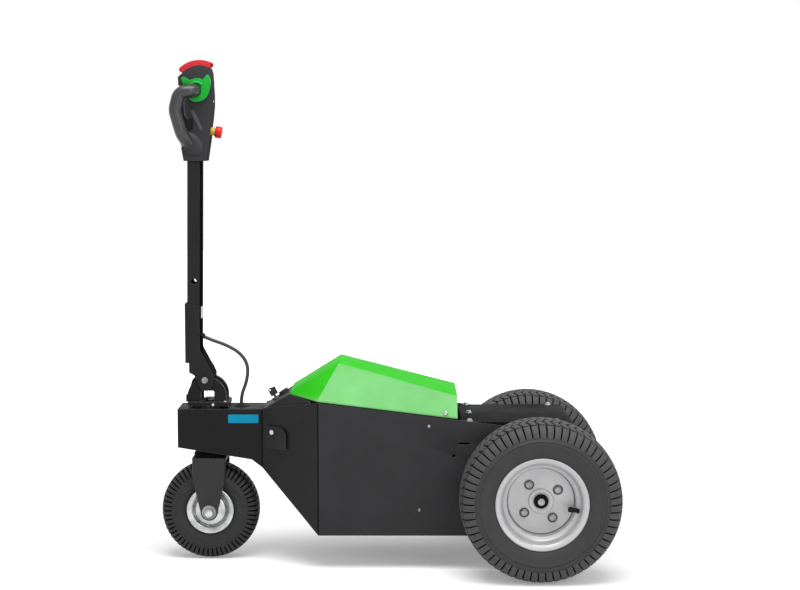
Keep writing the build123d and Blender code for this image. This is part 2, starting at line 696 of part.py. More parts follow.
def build_mast():
    """Rectangular mast tube and the folded bracket at its foot."""
    mast = block(
        (MAST_X - MAST_DEPTH / 2, MAST_X + MAST_DEPTH / 2),
        (-MAST_WIDTH / 2, MAST_WIDTH / 2),
        (MAST_BOTTOM, MAST_TOP),
    )
    mast = fillet(mast.edges().filter_by(Axis.Z), 4)
    wall = MAST_WALL
    mast -= block(
        (MAST_X - MAST_DEPTH / 2 + wall, MAST_X + MAST_DEPTH / 2 - wall),
        (-MAST_WIDTH / 2 + wall, MAST_WIDTH / 2 - wall),
        (MAST_BOTTOM - 1, MAST_TOP + 1),
    )
    mast -= cross_cylinder(MAST_HOLE_R, MAST_X + 1.5, MAST_HOLE_Z, -MAST_WIDTH, MAST_WIDTH)
    parts["mast"] = mast
    web = MAST_X - MAST_DEPTH / 2
    back = MAST_X + MAST_DEPTH / 2
    outer = MAST_WIDTH / 2 + BRACKET_T
    plate = side_prism(
        [
            (web - BRACKET_T, BRACKET_TOP),
            (web - BRACKET_T, BRACKET_WEB_BOTTOM),
            (PIVOT_X - 41, BRACKET_WEB_BOTTOM),
            (PIVOT_X - 41, PIVOT_Z + 19),
            (PIVOT_X - 28, PIVOT_Z + 12),
            (PIVOT_X - 11, PIVOT_Z - 25),
            (PIVOT_X + 4, PIVOT_Z - 29),
            (PIVOT_X + 17, PIVOT_Z - 19),
            (PIVOT_X + 22, PIVOT_Z),
            (PIVOT_X + 22, PIVOT_Z + 13),
            (PIVOT_X + 16, PIVOT_Z + 27),
            (PIVOT_X + 8, PIVOT_Z + 40),
            (back, PIVOT_Z + 79),
            (back, BRACKET_TOP - 7),
        ],
        -outer,
        outer,
    )
    plate -= block((web, back + 60), (-MAST_WIDTH / 2, MAST_WIDTH / 2), (0, BRACKET_TOP + 1))
    plate -= cross_cylinder(PIVOT_R, PIVOT_X, PIVOT_Z, -outer - 1, outer + 1)
    parts["mast_bracket"] = plate
    bolt = cross_cylinder(PIVOT_R, PIVOT_X, PIVOT_Z, -outer - 8, outer + 8)
    for side in (-1, 1):
        ends = sorted((side * outer, side * (outer + 6)))
        bolt += cross_cylinder(PIVOT_HEAD_R, PIVOT_X, PIVOT_Z, *ends)
    parts["pivot_bolt"] = bolt
    gland_x = MAST_X + MAST_DEPTH / 2
    gland = Pos(gland_x, 0, GLAND_Z) * Rot(Y=90 + GLAND_TILT) * Cylinder(8, 2 * GLAND_REACH)
    behind_face = block((gland_x - 2 * GLAND_REACH, gland_x), (-20, 20), (GLAND_Z - 30, GLAND_Z + 30))
    parts["cable_gland"] = gland - behind_face


def on_head(points):
    """Points of the tiller head, given from the top of the mast."""
    return [(MAST_X + x, MAST_TOP + z) for x, z in points]


def head_outline():
    """Side outline of the head housing, from its low front edge round the top to the back."""
    return on_head([
        (-19.5, -29), (-25.5, 4), (-12, 32), (5.5, 55), (6.5, 105), (-9.5, 140), (-31, 163), (-32, 183),
        (-27, 188), (-14, 199.5), (-1, 207.5), (11, 211.3), (23, 212.5), (38, 210.6), (47, 206), (51, 194),
        (52, 169), (54, 139), (54, 112), (51, 80), (48.5, 63), (45.5, 30), (36.5, -29),
    ])


def build_head_housing():
    """Moulded housing round the mast's top, with a web between the two grips."""
    housing = side_prism(head_outline(), -HEAD_HALF, HEAD_HALF)
    web = on_head([(-14, 30), (-11.5, 45), (-9.5, 100), (-16, 148), (15, 148), (15, 30)])
    housing += side_prism(web, -HEAD_WEB_HALF, HEAD_WEB_HALF)
    housing -= block(
        (MAST_X - MAST_DEPTH / 2, MAST_X + MAST_DEPTH / 2),
        (-MAST_WIDTH / 2, MAST_WIDTH / 2),
        (MAST_TOP - 60, MAST_TOP),
    )
    parts["head_housing"] = housing


def build_belly_cap():
    """Curved pressure cap over the head, a band of even thickness with round ends."""
    centre = Vector(*on_head([(23, 152.5)])[0])
    edges = []
    for radius, angles in ((CAP_OUTER_R, (139, 100, 66)), (CAP_INNER_R, (66, 100, 137))):
        arc = [centre + Vector(radius, 0).rotate(Axis.Z, angle) for angle in angles]
        edges.append(ThreePointArc(*arc))
    outer, inner = edges
    edges += [Line(outer @ 1, inner @ 0), Line(inner @ 1, outer @ 0)]
    face = make_face(edges)
    band = fillet(face.vertices(), (CAP_OUTER_R - CAP_INNER_R) / 2 - 1)
    cap = side_sketch_prism(band, 2 - HEAD_HALF, HEAD_HALF - 2)
    parts["belly_cap"] = cap - side_prism(head_outline(), -HEAD_HALF, HEAD_HALF)


def build_grips():
    """Loop grips: each leaves the housing sideways, runs forward and down, and comes back in."""
    corners = on_head([(-25.5, 145), (-37.5, 100), (-20.5, 37), (-1.5, 8)])
    route = [
        (HUB_X, -HEAD_HALF + 10, HUB_Z),
        (HUB_X, -GRIP_Y, HUB_Z),
        (corners[0][0], -GRIP_Y, corners[0][1]),
        (corners[1][0], -GRIP_Y, corners[1][1]),
        (corners[2][0], -GRIP_Y + 8, corners[2][1]),
        (corners[3][0], -HEAD_HALF + 12, corners[3][1]),
    ]
    path = FilletPolyline(*route, radius=[18, 24, 50, 40])
    start = Plane(origin=path @ 0, z_dir=path % 0)
    grip = sweep(start * Circle(GRIP_R), path=path)
    grip -= side_prism(head_outline(), -HEAD_HALF, HEAD_HALF)
    parts["grip_left"] = grip
    parts["grip_right"] = mirrored(grip)


def build_throttles():
    """Throttle paddles: a winged half ring round the root of each grip."""
    outline = on_head([
        (-22.7, 178), (-21.5, 181.5), (-18, 183.5), (-13.5, 183.2), (-8.5, 180.5), (-2, 175.5), (5, 177.3),
        (14, 180.2), (23, 180.3), (31, 176), (36, 181), (41, 187.5), (44.5, 189), (48, 186.3), (50.7, 181),
        (52, 172), (51, 159), (48, 145), (42.8, 134), (33.7, 125.5), (22.4, 120.7), (9.9, 120.4),
        (0.9, 124.9), (-3.7, 131.5), (8.9, 131.7), (8.9, 150), (-8, 164), (-17.3, 164.2),
    ])
    paddle = side_prism(outline, -HEAD_HALF - THROTTLE_T, -HEAD_HALF)
    paddle -= cross_cylinder(GRIP_R + SLIP, HUB_X, HUB_Z, -2 * HEAD_HALF, 0)
    parts["throttle_left"] = paddle
    parts["throttle_right"] = mirrored(paddle)


def build_stop_button():
    """Emergency stop: yellow base and red mushroom button on the back of the head."""
    foot = on_head([(58, 45)])[0]
    seat = Pos(foot[0], 0, foot[1]) * Rot(Y=90 + STOP_TILT)
    base = seat * Pos(0, 0, -8) * Cylinder(10.5, 16)
    parts["stop_base"] = base - side_prism(head_outline(), -HEAD_HALF, HEAD_HALF)
    parts["stop_button"] = seat * Pos(0, 0, 8.5) * Cylinder(15, 17)


def build_cable():
    """Steering cable from the mast gland down to the grommet on the neck."""
    grommet = upright_cylinder(GROMMET_R, GROMMET_X, 0, NECK_TOP, NECK_TOP + 2)
    grommet += Pos(GROMMET_X, 0, (NECK_TOP + 2 + GROMMET_TOP) / 2) * Cone(12, 8, GROMMET_TOP - NECK_TOP - 2)
    parts["cable_grommet"] = grommet
    tilt = math.radians(GLAND_TILT)
    along = (math.cos(tilt), -math.sin(tilt))
    gland_x = MAST_X + MAST_DEPTH / 2
    reach = GLAND_REACH + 2 * SLIP
    route = [
        (gland_x + reach * along[0], 0, GLAND_Z + reach * along[1]),
        (gland_x + (reach + 20) * along[0], 0, GLAND_Z + (reach + 20) * along[1]),
        (GROMMET_X - 40.5, 0, 556.5),
        (GROMMET_X - 3.5, 0, 536),
        (GROMMET_X + 18.5, 0, 504),
        (GROMMET_X + 15, 0, 461),
        (GROMMET_X, 0, GROMMET_TOP + 23),
        (GROMMET_X, 0, GROMMET_TOP),
    ]
    radii = []
    for before, here, after in zip(route, route[1:], route[2:]):
        turn = (Vector(*here) - Vector(*before)).get_angle(Vector(*after) - Vector(*here))
        shorter = min(math.dist(before, here), math.dist(here, after))
        radii.append(0.45 * shorter / math.tan(math.radians(turn) / 2))
    print("cable route", [(round(p[0], 2), round(p[2], 2)) for p in route])
    print("cable radii", [round(r, 1) for r in radii])
    path = FilletPolyline(*route, radius=radii)
    start = Plane(origin=path @ 0, z_dir=path % 0)
    cable = sweep(start * Circle(CABLE_R), path=path)
    ideal = path.length * math.pi * CABLE_R ** 2
    print("cable length", round(path.length, 1), "volume ratio", round(cable.volume / ideal, 4))
    parts["steering_cable"] = cable


def build_charge_flap():
    """Swinging flap on its pivot screw, over the charging socket."""
    plane = cheek_plane(FLAP_STAND_OFF)
    outline = Polygon(
        (FLAP_SCREW_U - FLAP_LEFT, FLAP_SCREW_Z - FLAP_DOWN),
        (FLAP_SCREW_U + FLAP_RIGHT, FLAP_SCREW_Z - FLAP_DOWN),
        (FLAP_SCREW_U + FLAP_RIGHT, FLAP_SCREW_Z + FLAP_UP),
        (FLAP_SCREW_U - FLAP_LEFT, FLAP_SCREW_Z + FLAP_UP),
        align=None,
    )
    ends = outline.vertices().sort_by(Axis.X)
    outline = fillet(ends[-2:].sort_by(Axis.Y)[-1], 24)
    outline = fillet(outline.vertices().sort_by(Axis.Y)[:2], 6)
    outline = fillet(outline.vertices().sort_by(Axis.Y).sort_by(Axis.X)[0:2].sort_by(Axis.Y)[-1], 8)
    flap = plane * extrude(outline, amount=FLAP_T)
    screw = plane * Pos(FLAP_SCREW_U, FLAP_SCREW_Z, 0)
    flap -= screw * Cylinder(FLAP_PIN_R + RUN_FIT, 4 * FLAP_T)
    parts["charge_flap"] = flap
    spacer = Pos(0, 0, -(FLAP_STAND_OFF + SLIP) / 2) * Cylinder(6, FLAP_STAND_OFF - SLIP)
    pin = Pos(0, 0, FLAP_T / 2) * Cylinder(FLAP_PIN_R, FLAP_T + 2 * SLIP + 1)
    head = Pos(0, 0, FLAP_T + SLIP + 1.5) * Cylinder(6, 3)
    parts["flap_screw"] = screw * (spacer + pin + head)
    socket = Pos(FLAP_SCREW_U + 11, FLAP_SCREW_Z - 23, -15) * Cylinder(SOCKET_R, 34)
    parts["charge_socket"] = cheek_plane() * socket


def main():
    """Build every piece and write one file for each."""
    build_side_plates()
    build_floor()
    build_neck()
    build_head_tube()
    build_hood()
    build_dash()
    build_deck()
    build_inner_masses()
    build_hitch()
    build_dash_controls()
    build_fork()
    build_stem()
    build_front_axle()
    build_front_wheel()
    build_rear_wheels()
    build_tiller_base()
    build_mast()
    build_head_housing()
    build_belly_cap()
    build_grips()
    build_throttles()
    build_stop_button()
    build_cable()
    build_charge_flap()
    os.makedirs("parts", exist_ok=True)
    for name, solid in parts.items():
        export_step(solid, "parts/" + name + ".step")


main()
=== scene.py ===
import bmesh
import bpy
import math
from mathutils import Matrix, Vector


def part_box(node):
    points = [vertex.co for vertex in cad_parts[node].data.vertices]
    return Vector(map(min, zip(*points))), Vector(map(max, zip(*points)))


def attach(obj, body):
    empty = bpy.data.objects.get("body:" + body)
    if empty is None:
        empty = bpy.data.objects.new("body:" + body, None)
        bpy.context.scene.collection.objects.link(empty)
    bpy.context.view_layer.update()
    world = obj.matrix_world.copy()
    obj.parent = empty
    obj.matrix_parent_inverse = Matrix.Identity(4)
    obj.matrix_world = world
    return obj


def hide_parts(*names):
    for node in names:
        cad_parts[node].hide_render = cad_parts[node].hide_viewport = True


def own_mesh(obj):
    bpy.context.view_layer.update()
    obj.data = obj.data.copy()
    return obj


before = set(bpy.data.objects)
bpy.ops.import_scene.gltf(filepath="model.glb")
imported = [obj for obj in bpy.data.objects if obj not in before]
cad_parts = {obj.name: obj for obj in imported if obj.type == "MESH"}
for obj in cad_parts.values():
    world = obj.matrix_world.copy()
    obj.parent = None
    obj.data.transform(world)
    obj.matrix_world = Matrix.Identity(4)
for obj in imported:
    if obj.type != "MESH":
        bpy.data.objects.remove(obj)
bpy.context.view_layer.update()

# The studio is a white paper sweep that keeps the machine's soft shadow. A wide soft lamp hangs above
# and in front, a second stands before the hitch end, and the camera looks on at a person's chest height.
LENS_MM = 79.3
SENSOR_MM = 36.0
CAMERA_PLACE = (0.0469, -4.5331, 1.105)
CAMERA_DIP = 5.29
CAMERA_TURN = 0.0025
photo_camera = bpy.data.objects.new("photo_camera", bpy.data.cameras.new("photo_camera"))
photo_camera.data.lens = LENS_MM
photo_camera.data.sensor_width = SENSOR_MM
photo_camera.location = CAMERA_PLACE
photo_camera.rotation_euler = (math.radians(90 - CAMERA_DIP), 0.0, CAMERA_TURN)
bpy.context.scene.collection.objects.link(photo_camera)
bpy.context.scene.camera = photo_camera
bpy.context.scene.view_settings.view_transform = "Standard"


def blank_material(name):
    """A new material with its node tree and its Principled shader."""
    material = bpy.data.materials.new(name)
    material.use_nodes = True
    return material, material.node_tree, material.node_tree.nodes["Principled BSDF"]


def ranged(tree, value, low, high, to_low=0.0, to_high=1.0):
    """A value stretched from one range to another and held inside it."""
    stretch = tree.nodes.new("ShaderNodeMapRange")
    tree.links.new(value, stretch.inputs["Value"])
    for label, number in (("From Min", low), ("From Max", high), ("To Min", to_low), ("To Max", to_high)):
        stretch.inputs[label].default_value = number
    return stretch.outputs["Result"]


def combined(tree, kind, first, second):
    """Two values, each a socket or a number, put together by a Math node."""
    node = tree.nodes.new("ShaderNodeMath")
    node.operation = kind
    for socket, value in zip(node.inputs, (first, second)):
        if isinstance(value, (int, float)):
            socket.default_value = value
        else:
            tree.links.new(value, socket)
    return node.outputs[0]


def background_rays(tree):
    """One for a ray that shows the background: straight from the camera, off metal or through glass."""
    ray = tree.nodes.new("ShaderNodeLightPath")
    seen = combined(tree, "MAXIMUM", ray.outputs["Is Camera Ray"], ray.outputs["Is Glossy Ray"])
    return combined(tree, "MAXIMUM", seen, ray.outputs["Is Transmission Ray"])


WHITE = (1.0, 1.0, 1.0, 1.0)
ROOM_LIGHT = 0.50
room = bpy.data.worlds.new("white_room")
room.use_nodes = True
bpy.context.scene.world = room
room_tree = room.node_tree
unlit = room_tree.nodes["Background"]
unlit.inputs["Color"].default_value = WHITE
unlit.inputs["Strength"].default_value = ROOM_LIGHT
backdrop = room_tree.nodes.new("ShaderNodeBackground")
backdrop.inputs["Color"].default_value = WHITE
backdrop.inputs["Strength"].default_value = 1.0
choice = room_tree.nodes.new("ShaderNodeMixShader")
room_tree.links.new(background_rays(room_tree), choice.inputs[0])
room_tree.links.new(unlit.outputs[0], choice.inputs[1])
room_tree.links.new(backdrop.outputs[0], choice.inputs[2])
room_tree.links.new(choice.outputs[0], room_tree.nodes["World Output"].inputs["Surface"])

PAPER_WHITE = (0.92, 0.92, 0.93, 1.0)
PAPER_NEAR_GLOW = 0.24
PAPER_FAR_GLOW = 0.80
PAPER_NEAR = 0.9
PAPER_FAR = 2.6
PAPER_HALF = 12.0
paper_material, paper_tree, paper_shader = blank_material("white_paper")
paper_shader.inputs["Base Color"].default_value = PAPER_WHITE
paper_shader.inputs["Roughness"].default_value = 1.0
paper_shader.inputs["Specular IOR Level"].default_value = 0.0
paper_place = paper_tree.nodes.new("ShaderNodeTexCoord")
away = paper_tree.nodes.new("ShaderNodeVectorMath")
away.operation = "LENGTH"
paper_tree.links.new(paper_place.outputs["Object"], away.inputs[0])
glow = ranged(paper_tree, away.outputs["Value"], PAPER_NEAR, PAPER_FAR, PAPER_NEAR_GLOW, PAPER_FAR_GLOW)
glow = combined(paper_tree, "MULTIPLY", glow, background_rays(paper_tree))
paper_glow = paper_tree.nodes.new("ShaderNodeEmission")
paper_tree.links.new(glow, paper_glow.inputs["Strength"])
paper_sum = paper_tree.nodes.new("ShaderNodeAddShader")
paper_tree.links.new(paper_shader.outputs[0], paper_sum.inputs[0])
paper_tree.links.new(paper_glow.outputs[0], paper_sum.inputs[1])
paper_tree.links.new(paper_sum.outputs[0], paper_tree.nodes["Material Output"].inputs["Surface"])

paper_shape = bmesh.new()
bmesh.ops.create_grid(paper_shape, x_segments=1, y_segments=1, size=PAPER_HALF)
paper_mesh = bpy.data.meshes.new("paper_sweep")
paper_shape.to_mesh(paper_mesh)
paper_shape.free()
paper_mesh.materials.append(paper_material)
paper_sweep = bpy.data.objects.new("paper_sweep", paper_mesh)
bpy.context.scene.collection.objects.link(paper_sweep)


def soft_lamp(name, place, target, width, height, power):
    """A rectangular soft lamp aimed at a point."""
    lamp = bpy.data.objects.new(name, bpy.data.lights.new(name, "AREA"))
    lamp.data.shape = "RECTANGLE"
    lamp.data.size = width
    lamp.data.size_y = height
    lamp.data.energy = power
    lamp.location = place
    lamp.rotation_mode = "QUATERNION"
    lamp.rotation_quaternion = (Vector(target) - Vector(place)).to_track_quat("-Z", "Y")
    bpy.context.scene.collection.objects.link(lamp)


soft_lamp("overhead_lamp", place=(0.1, -1.0, 3.2), target=(0.0, 0.0, 0.4), width=2.6, height=1.8,
          power=88.0)
soft_lamp("hitch_end_lamp", place=(1.9, -3.0, 1.7), target=(0.2, 0.0, 0.4), width=1.6, height=1.8,
          power=22.0)

# The body is folded from 4 mm steel sheet, welded at its corners and powder coated black: two side
# plates with cheeks that run in to the box neck, a floor with a sloping nose, and the sloping dash.


def effect_group(name, inputs, outputs):
    """An empty shader group with named sockets, and its input, output and coordinate nodes."""
    group = bpy.data.node_groups.new(name, "ShaderNodeTree")
    for label, kind, value in inputs:
        socket = group.interface.new_socket(name=label, in_out="INPUT", socket_type=kind)
        socket.default_value = value
    for label, kind in outputs:
        group.interface.new_socket(name=label, in_out="OUTPUT", socket_type=kind)
    given = group.nodes.new("NodeGroupInput")
    result = group.nodes.new("NodeGroupOutput")
    place = group.nodes.new("ShaderNodeTexCoord")
    return group, given, result, place


def noise_in(tree, place, scale, detail=2.0, roughness=0.5):
    """A noise pattern on Object coordinates; scale is a number or a socket."""
    pattern = tree.nodes.new("ShaderNodeTexNoise")
    pattern.inputs["Detail"].default_value = detail
    pattern.inputs["Roughness"].default_value = roughness
    tree.links.new(place, pattern.inputs["Vector"])
    if isinstance(scale, (int, float)):
        pattern.inputs["Scale"].default_value = scale
    else:
        tree.links.new(scale, pattern.inputs["Scale"])
    return pattern.outputs["Fac"]


def blended(tree, share, first, second):
    """Two colours mixed by a share; each is a socket or a colour."""
    node = tree.nodes.new("ShaderNodeMix")
    node.data_type = "RGBA"
    tree.links.new(share, node.inputs[0])
    for socket, value in ((node.inputs[6], first), (node.inputs[7], second)):
        if isinstance(value, tuple):
            socket.default_value = (*value, 1.0)
        else:
            tree.links.new(value, socket)
    return node.outputs[2]


EDGE_SAMPLES = 4
FLAT_COSINE = 0.995
EDGE_COSINE = 0.80


def edge_mask(tree, radius):
    """How much the surface turns within the radius: one on an edge, nought on the flat."""
    rounded = tree.nodes.new("ShaderNodeBevel")
    rounded.samples = EDGE_SAMPLES
    rounded.inputs["Radius"].default_value = radius
    flat = tree.nodes.new("ShaderNodeNewGeometry")
    between = tree.nodes.new("ShaderNodeVectorMath")
    between.operation = "DOT_PRODUCT"
    tree.links.new(rounded.outputs["Normal"], between.inputs[0])
    tree.links.new(flat.outputs["Normal"], between.inputs[1])
    return ranged(tree, between.outputs["Value"], FLAT_COSINE, EDGE_COSINE)


colour_kind = "NodeSocketColor"
number_kind = "NodeSocketFloat"
POWDER_SCUFF_AND_HIGHLIGHT_WIDTH = 0.0028
powder, powder_in, powder_out, powder_place = effect_group(
    "powder_coat",
    [("Colour", colour_kind, (0.03, 0.03, 0.03, 1.0)), ("Scuff And Highlight Colour", colour_kind, (0.1, 0.1, 0.1, 1.0)),
     ("Grain", number_kind, 900.0), ("Roughness", number_kind, 0.5), ("Scuff And Highlight", number_kind, 0.5)],
    [("Colour", colour_kind), ("Roughness", number_kind), ("Height", number_kind)],
)
powder_at = powder_place.outputs["Object"]
cloudy = noise_in(powder, powder_at, scale=7.0, detail=4.0, roughness=0.6)
cloud_share = ranged(powder, cloudy, low=0.3, high=0.7, to_high=0.22)
shaded = blended(powder, cloud_share, powder_in.outputs["Colour"], (0.0, 0.0, 0.0))
# Edges are lightened towards the edge colour: wear on most coats, and a painted highlight where that colour
# is set bright, as on the neck.
rubbed = ranged(powder, noise_in(powder, powder_at, scale=160.0, detail=3.0), low=0.35, high=0.65)
scuffed_and_highlit_edge = combined(powder, "MULTIPLY", edge_mask(powder, POWDER_SCUFF_AND_HIGHLIGHT_WIDTH), rubbed)
scuffed_and_highlit_edge = combined(powder, "MULTIPLY", scuffed_and_highlit_edge, powder_in.outputs["Scuff And Highlight"])
powder.links.new(blended(powder, scuffed_and_highlit_edge, shaded, powder_in.outputs["Scuff And Highlight Colour"]), powder_out.inputs["Colour"])
patches = noise_in(powder, powder_at, scale=23.0, detail=3.0)
patchy = ranged(powder, patches, low=0.3, high=0.7, to_low=-0.05, to_high=0.06)
powder_dull = combined(powder, "ADD", powder_in.outputs["Roughness"], patchy)
powder.links.new(powder_dull, powder_out.inputs["Roughness"])
powder.links.new(noise_in(powder, powder_at, powder_in.outputs["Grain"]), powder_out.inputs["Height"])
RELIEF_STRENGTH = 0.4


def coated(name, group, values, shine, depth, metallic=0.0):
    """A material whose colour, roughness and relief come from an effect group."""
    material, tree, shader = blank_material(name)
    effect = tree.nodes.new("ShaderNodeGroup")
    effect.node_tree = group
    for label, value in values.items():
        effect.inputs[label].default_value = (*value, 1.0) if isinstance(value, tuple) else value
    relief = tree.nodes.new("ShaderNodeBump")
    relief.inputs["Strength"].default_value = RELIEF_STRENGTH
    relief.inputs["Distance"].default_value = depth
    tree.links.new(effect.outputs["Height"], relief.inputs["Height"])
    tree.links.new(relief.outputs["Normal"], shader.inputs["Normal"])
    tree.links.new(effect.outputs["Colour"], shader.inputs["Base Color"])
    tree.links.new(effect.outputs["Roughness"], shader.inputs["Roughness"])
    shader.inputs["Specular IOR Level"].default_value = shine
    shader.inputs["Metallic"].default_value = metallic
    return material


def painted_light_by_facing(material, axis, low, high, colour, shine=None):
    """Paint light and shade into a material's colour, and change its shine where one is given, as the surface
    turns to an axis.
    """
    tree = material.node_tree
    found = {node.type: node for node in tree.nodes}
    place = tree.nodes.new("ShaderNodeTexCoord")
    facing = tree.nodes.new("ShaderNodeSeparateXYZ")
    tree.links.new(place.outputs["Normal"], facing.inputs["Vector"])
    share = facing.outputs[axis]
    if axis == "Y":
        share = combined(tree, "ABSOLUTE", share, 0.0)
    share = ranged(tree, share, low, high)
    own_colour = found["GROUP"].inputs["Colour"]
    tree.links.new(blended(tree, share, tuple(own_colour.default_value)[:3], colour), own_colour)
    if shine is not None:
        level = found["BSDF_PRINCIPLED"].inputs["Specular IOR Level"]
        tree.links.new(ranged(tree, share, 0.0, 1.0, level.default_value, shine), level)


def repaint(coat, *names):
    """Give CAD nodes a finish."""
    for name in names:
        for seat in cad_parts[name].material_slots:
            seat.link = "OBJECT"
            seat.material = coat


def rounded_off(shape, edges, radius, steps, affect="EDGES", clamp=False):
    """Round edges, or corners, off."""
    bmesh.ops.bevel(shape, geom=edges, offset=radius, offset_type="OFFSET", segments=steps, profile=0.5,
                    affect=affect, material=-1, clamp_overlap=clamp)


DOUBLES_GAP = 0.00002
COPLANAR_DEGREES = 0.4


def eased_copy(node, radius, steps=2, corner=24):
    """A node's own shape with its sharp edges rounded off, as a deburred sheet has them."""
    shape = bmesh.new()
    shape.from_mesh(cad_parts[node].data)
    bmesh.ops.remove_doubles(shape, verts=shape.verts, dist=DOUBLES_GAP)
    bmesh.ops.dissolve_limit(shape, angle_limit=math.radians(COPLANAR_DEGREES), verts=shape.verts,
                             edges=shape.edges)
    sharp = [e for e in shape.edges if e.is_manifold and e.calc_face_angle() > math.radians(corner)]
    rounded_off(shape, sharp, radius, steps, clamp=True)
    return shape


def fit(name, shape, body, coat, stands_for=(), corner=35):
    """Finish a piece: its mesh at rest, smooth but for its corners, riding on the body that carries it."""
    mesh = bpy.data.meshes.new(name)
    shape.to_mesh(mesh)
    shape.free()
    if "custom_normal" in mesh.attributes:
        mesh.attributes.remove(mesh.attributes["custom_normal"])
    mesh.materials.clear()
    mesh.materials.append(coat)
    mesh.shade_smooth()
    mesh.set_sharp_from_angle(angle=math.radians(corner))
    piece = bpy.data.objects.new(name, mesh)
    bpy.context.scene.collection.objects.link(piece)
    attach(piece, body)
    if stands_for:
        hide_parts(*stands_for)


def ease(node, body, coat, radius, steps=2, ending="_eased"):
    """Stand a deburred copy of a node in its place."""
    fit(node + ending, eased_copy(node, radius, steps), body, coat, (node,))


body_coat = coated(
    "body_powder_coat", powder,
    {"Colour": (0.011, 0.011, 0.012), "Scuff And Highlight Colour": (0.12, 0.12, 0.125), "Grain": 950.0, "Roughness": 0.52,
     "Scuff And Highlight": 0.55}, shine=0.20, depth=0.00012)
# Painted light and shade: faces turned to the front keep the darkest black, the flanks and tops are painted
# lighter.
painted_light_by_facing(body_coat, "X", low=-0.55, high=-0.15, colour=(0.026, 0.025, 0.027))
# Painted highlight: the neck coat's edge colour is set bright and strong, for a light line along the neck's
# top edges over its wear.
neck_coat = coated(
    "neck_powder_coat", powder,
    {"Colour": (0.009, 0.009, 0.010), "Scuff And Highlight Colour": (0.22, 0.22, 0.225), "Grain": 950.0, "Roughness": 0.55,
     "Scuff And Highlight": 0.9}, shine=0.14, depth=0.00012)
SHEET_EASING = 0.0009
NECK_EASING = 0.0018
for plate in ("side_plate_left", "side_plate_right", "dash_panel", "floor_plate"):
    ease(plate, "chassis", body_coat, SHEET_EASING, steps=3)
ease("neck_box", "chassis", neck_coat, NECK_EASING, steps=3)


def squared_bar(size, place, easing):
    """A straight bar with eased edges, given by its size and its middle."""
    shape = bmesh.new()
    bmesh.ops.create_cube(shape, size=1.0)
    bmesh.ops.scale(shape, verts=shape.verts, vec=size)
    rounded_off(shape, shape.edges[:], easing, steps=2)
    bmesh.ops.translate(shape, verts=shape.verts, vec=place)
    return shape


def joined(*shapes):
    """Several shapes as one."""
    whole = bmesh.new()
    for shape in shapes:
        mesh = bpy.data.meshes.new("part")
        shape.to_mesh(mesh)
        shape.free()
        whole.from_mesh(mesh)
        bpy.data.meshes.remove(mesh)
    return whole


seam_sealer = coated(
    "seam_sealer", powder,
    {"Colour": (0.004, 0.004, 0.004), "Scuff And Highlight Colour": (0.02, 0.02, 0.02), "Grain": 700.0, "Roughness": 0.75,
     "Scuff And Highlight": 0.1}, shine=0.1, depth=0.0001)
CORNER_SEAM = ((0.0034, 0.0014, 0.336), (-0.171, 0.1478, 0.2565), 0.0005)
NECK_SEAM = ((0.0040, 0.0036, 0.150), (-0.3176, 0.0574, 0.3205), 0.0012)
seams = [
    squared_bar(size, (x, side * y, z), easing)
    for side in (-1, 1) for size, (x, y, z), easing in (CORNER_SEAM, NECK_SEAM)
]
fit("body_seams", joined(*seams), "chassis", seam_sealer)

# Behind the plates are a block of battery cells and the drive unit with its axle tubes. They can only be
# seen from below: a moulded grey case, and castings with a rough dark finish.
battery_case = coated(
    "battery_case", powder,
    {"Colour": (0.10, 0.10, 0.11), "Scuff And Highlight Colour": (0.2, 0.2, 0.2), "Grain": 500.0, "Roughness": 0.6,
     "Scuff And Highlight": 0.2}, shine=0.4, depth=0.0001)
cast_metal = coated(
    "cast_metal", powder,
    {"Colour": (0.03, 0.03, 0.032), "Scuff And Highlight Colour": (0.2, 0.2, 0.21), "Grain": 300.0, "Roughness": 0.62,
     "Scuff And Highlight": 0.8}, shine=0.4, depth=0.0006)
repaint(battery_case, "battery_pack")
repaint(cast_metal, "drive_unit", "axle_tube_left", "axle_tube_right")

# The rear deck is one sheet bent down into the rear wall, on flanges and a cross beam. Zinc plated
# flanged bolts hold it down, and the tow bracket is bolted to the wall below it.
deck_coat = coated(
    "deck_powder_coat", powder,
    {"Colour": (0.010, 0.010, 0.011), "Scuff And Highlight Colour": (0.11, 0.11, 0.11), "Grain": 950.0, "Roughness": 0.6,
     "Scuff And Highlight": 0.5}, shine=0.03, depth=0.00012)
ease("rear_deck", "chassis", deck_coat, SHEET_EASING)
repaint(body_coat, "deck_beam")
ease("hitch_bracket", "chassis", neck_coat, radius=0.0011)

plated, plated_in, plated_out, plated_place = effect_group(
    "plated_steel",
    [("Colour", colour_kind, (0.6, 0.6, 0.6, 1.0)), ("Stain", colour_kind, (0.4, 0.42, 0.45, 1.0)),
     ("Roughness", number_kind, 0.3), ("Streak", number_kind, 60.0)],
    [("Colour", colour_kind), ("Roughness", number_kind), ("Height", number_kind)],
)
plated_at = plated_place.outputs["Object"]
blots = noise_in(plated, plated_at, scale=45.0, detail=5.0, roughness=0.65)
stained = ranged(plated, blots, low=0.38, high=0.66)
plated.links.new(blended(plated, stained, plated_in.outputs["Colour"], plated_in.outputs["Stain"]),
                 plated_out.inputs["Colour"])
streaks = noise_in(plated, plated_at, plated_in.outputs["Streak"], detail=3.0)
streaky = ranged(plated, streaks, low=0.3, high=0.7, to_low=-0.08, to_high=0.1)
plated_dull = combined(plated, "ADD", plated_in.outputs["Roughness"], streaky)
plated.links.new(plated_dull, plated_out.inputs["Roughness"])
plated.links.new(streaks, plated_out.inputs["Height"])
zinc = coated(
    "zinc_plate", plated,
    {"Colour": (0.60, 0.60, 0.60), "Stain": (0.34, 0.35, 0.35), "Roughness": 0.34, "Streak": 400.0},
    shine=0.5, depth=0.00008, metallic=1.0)


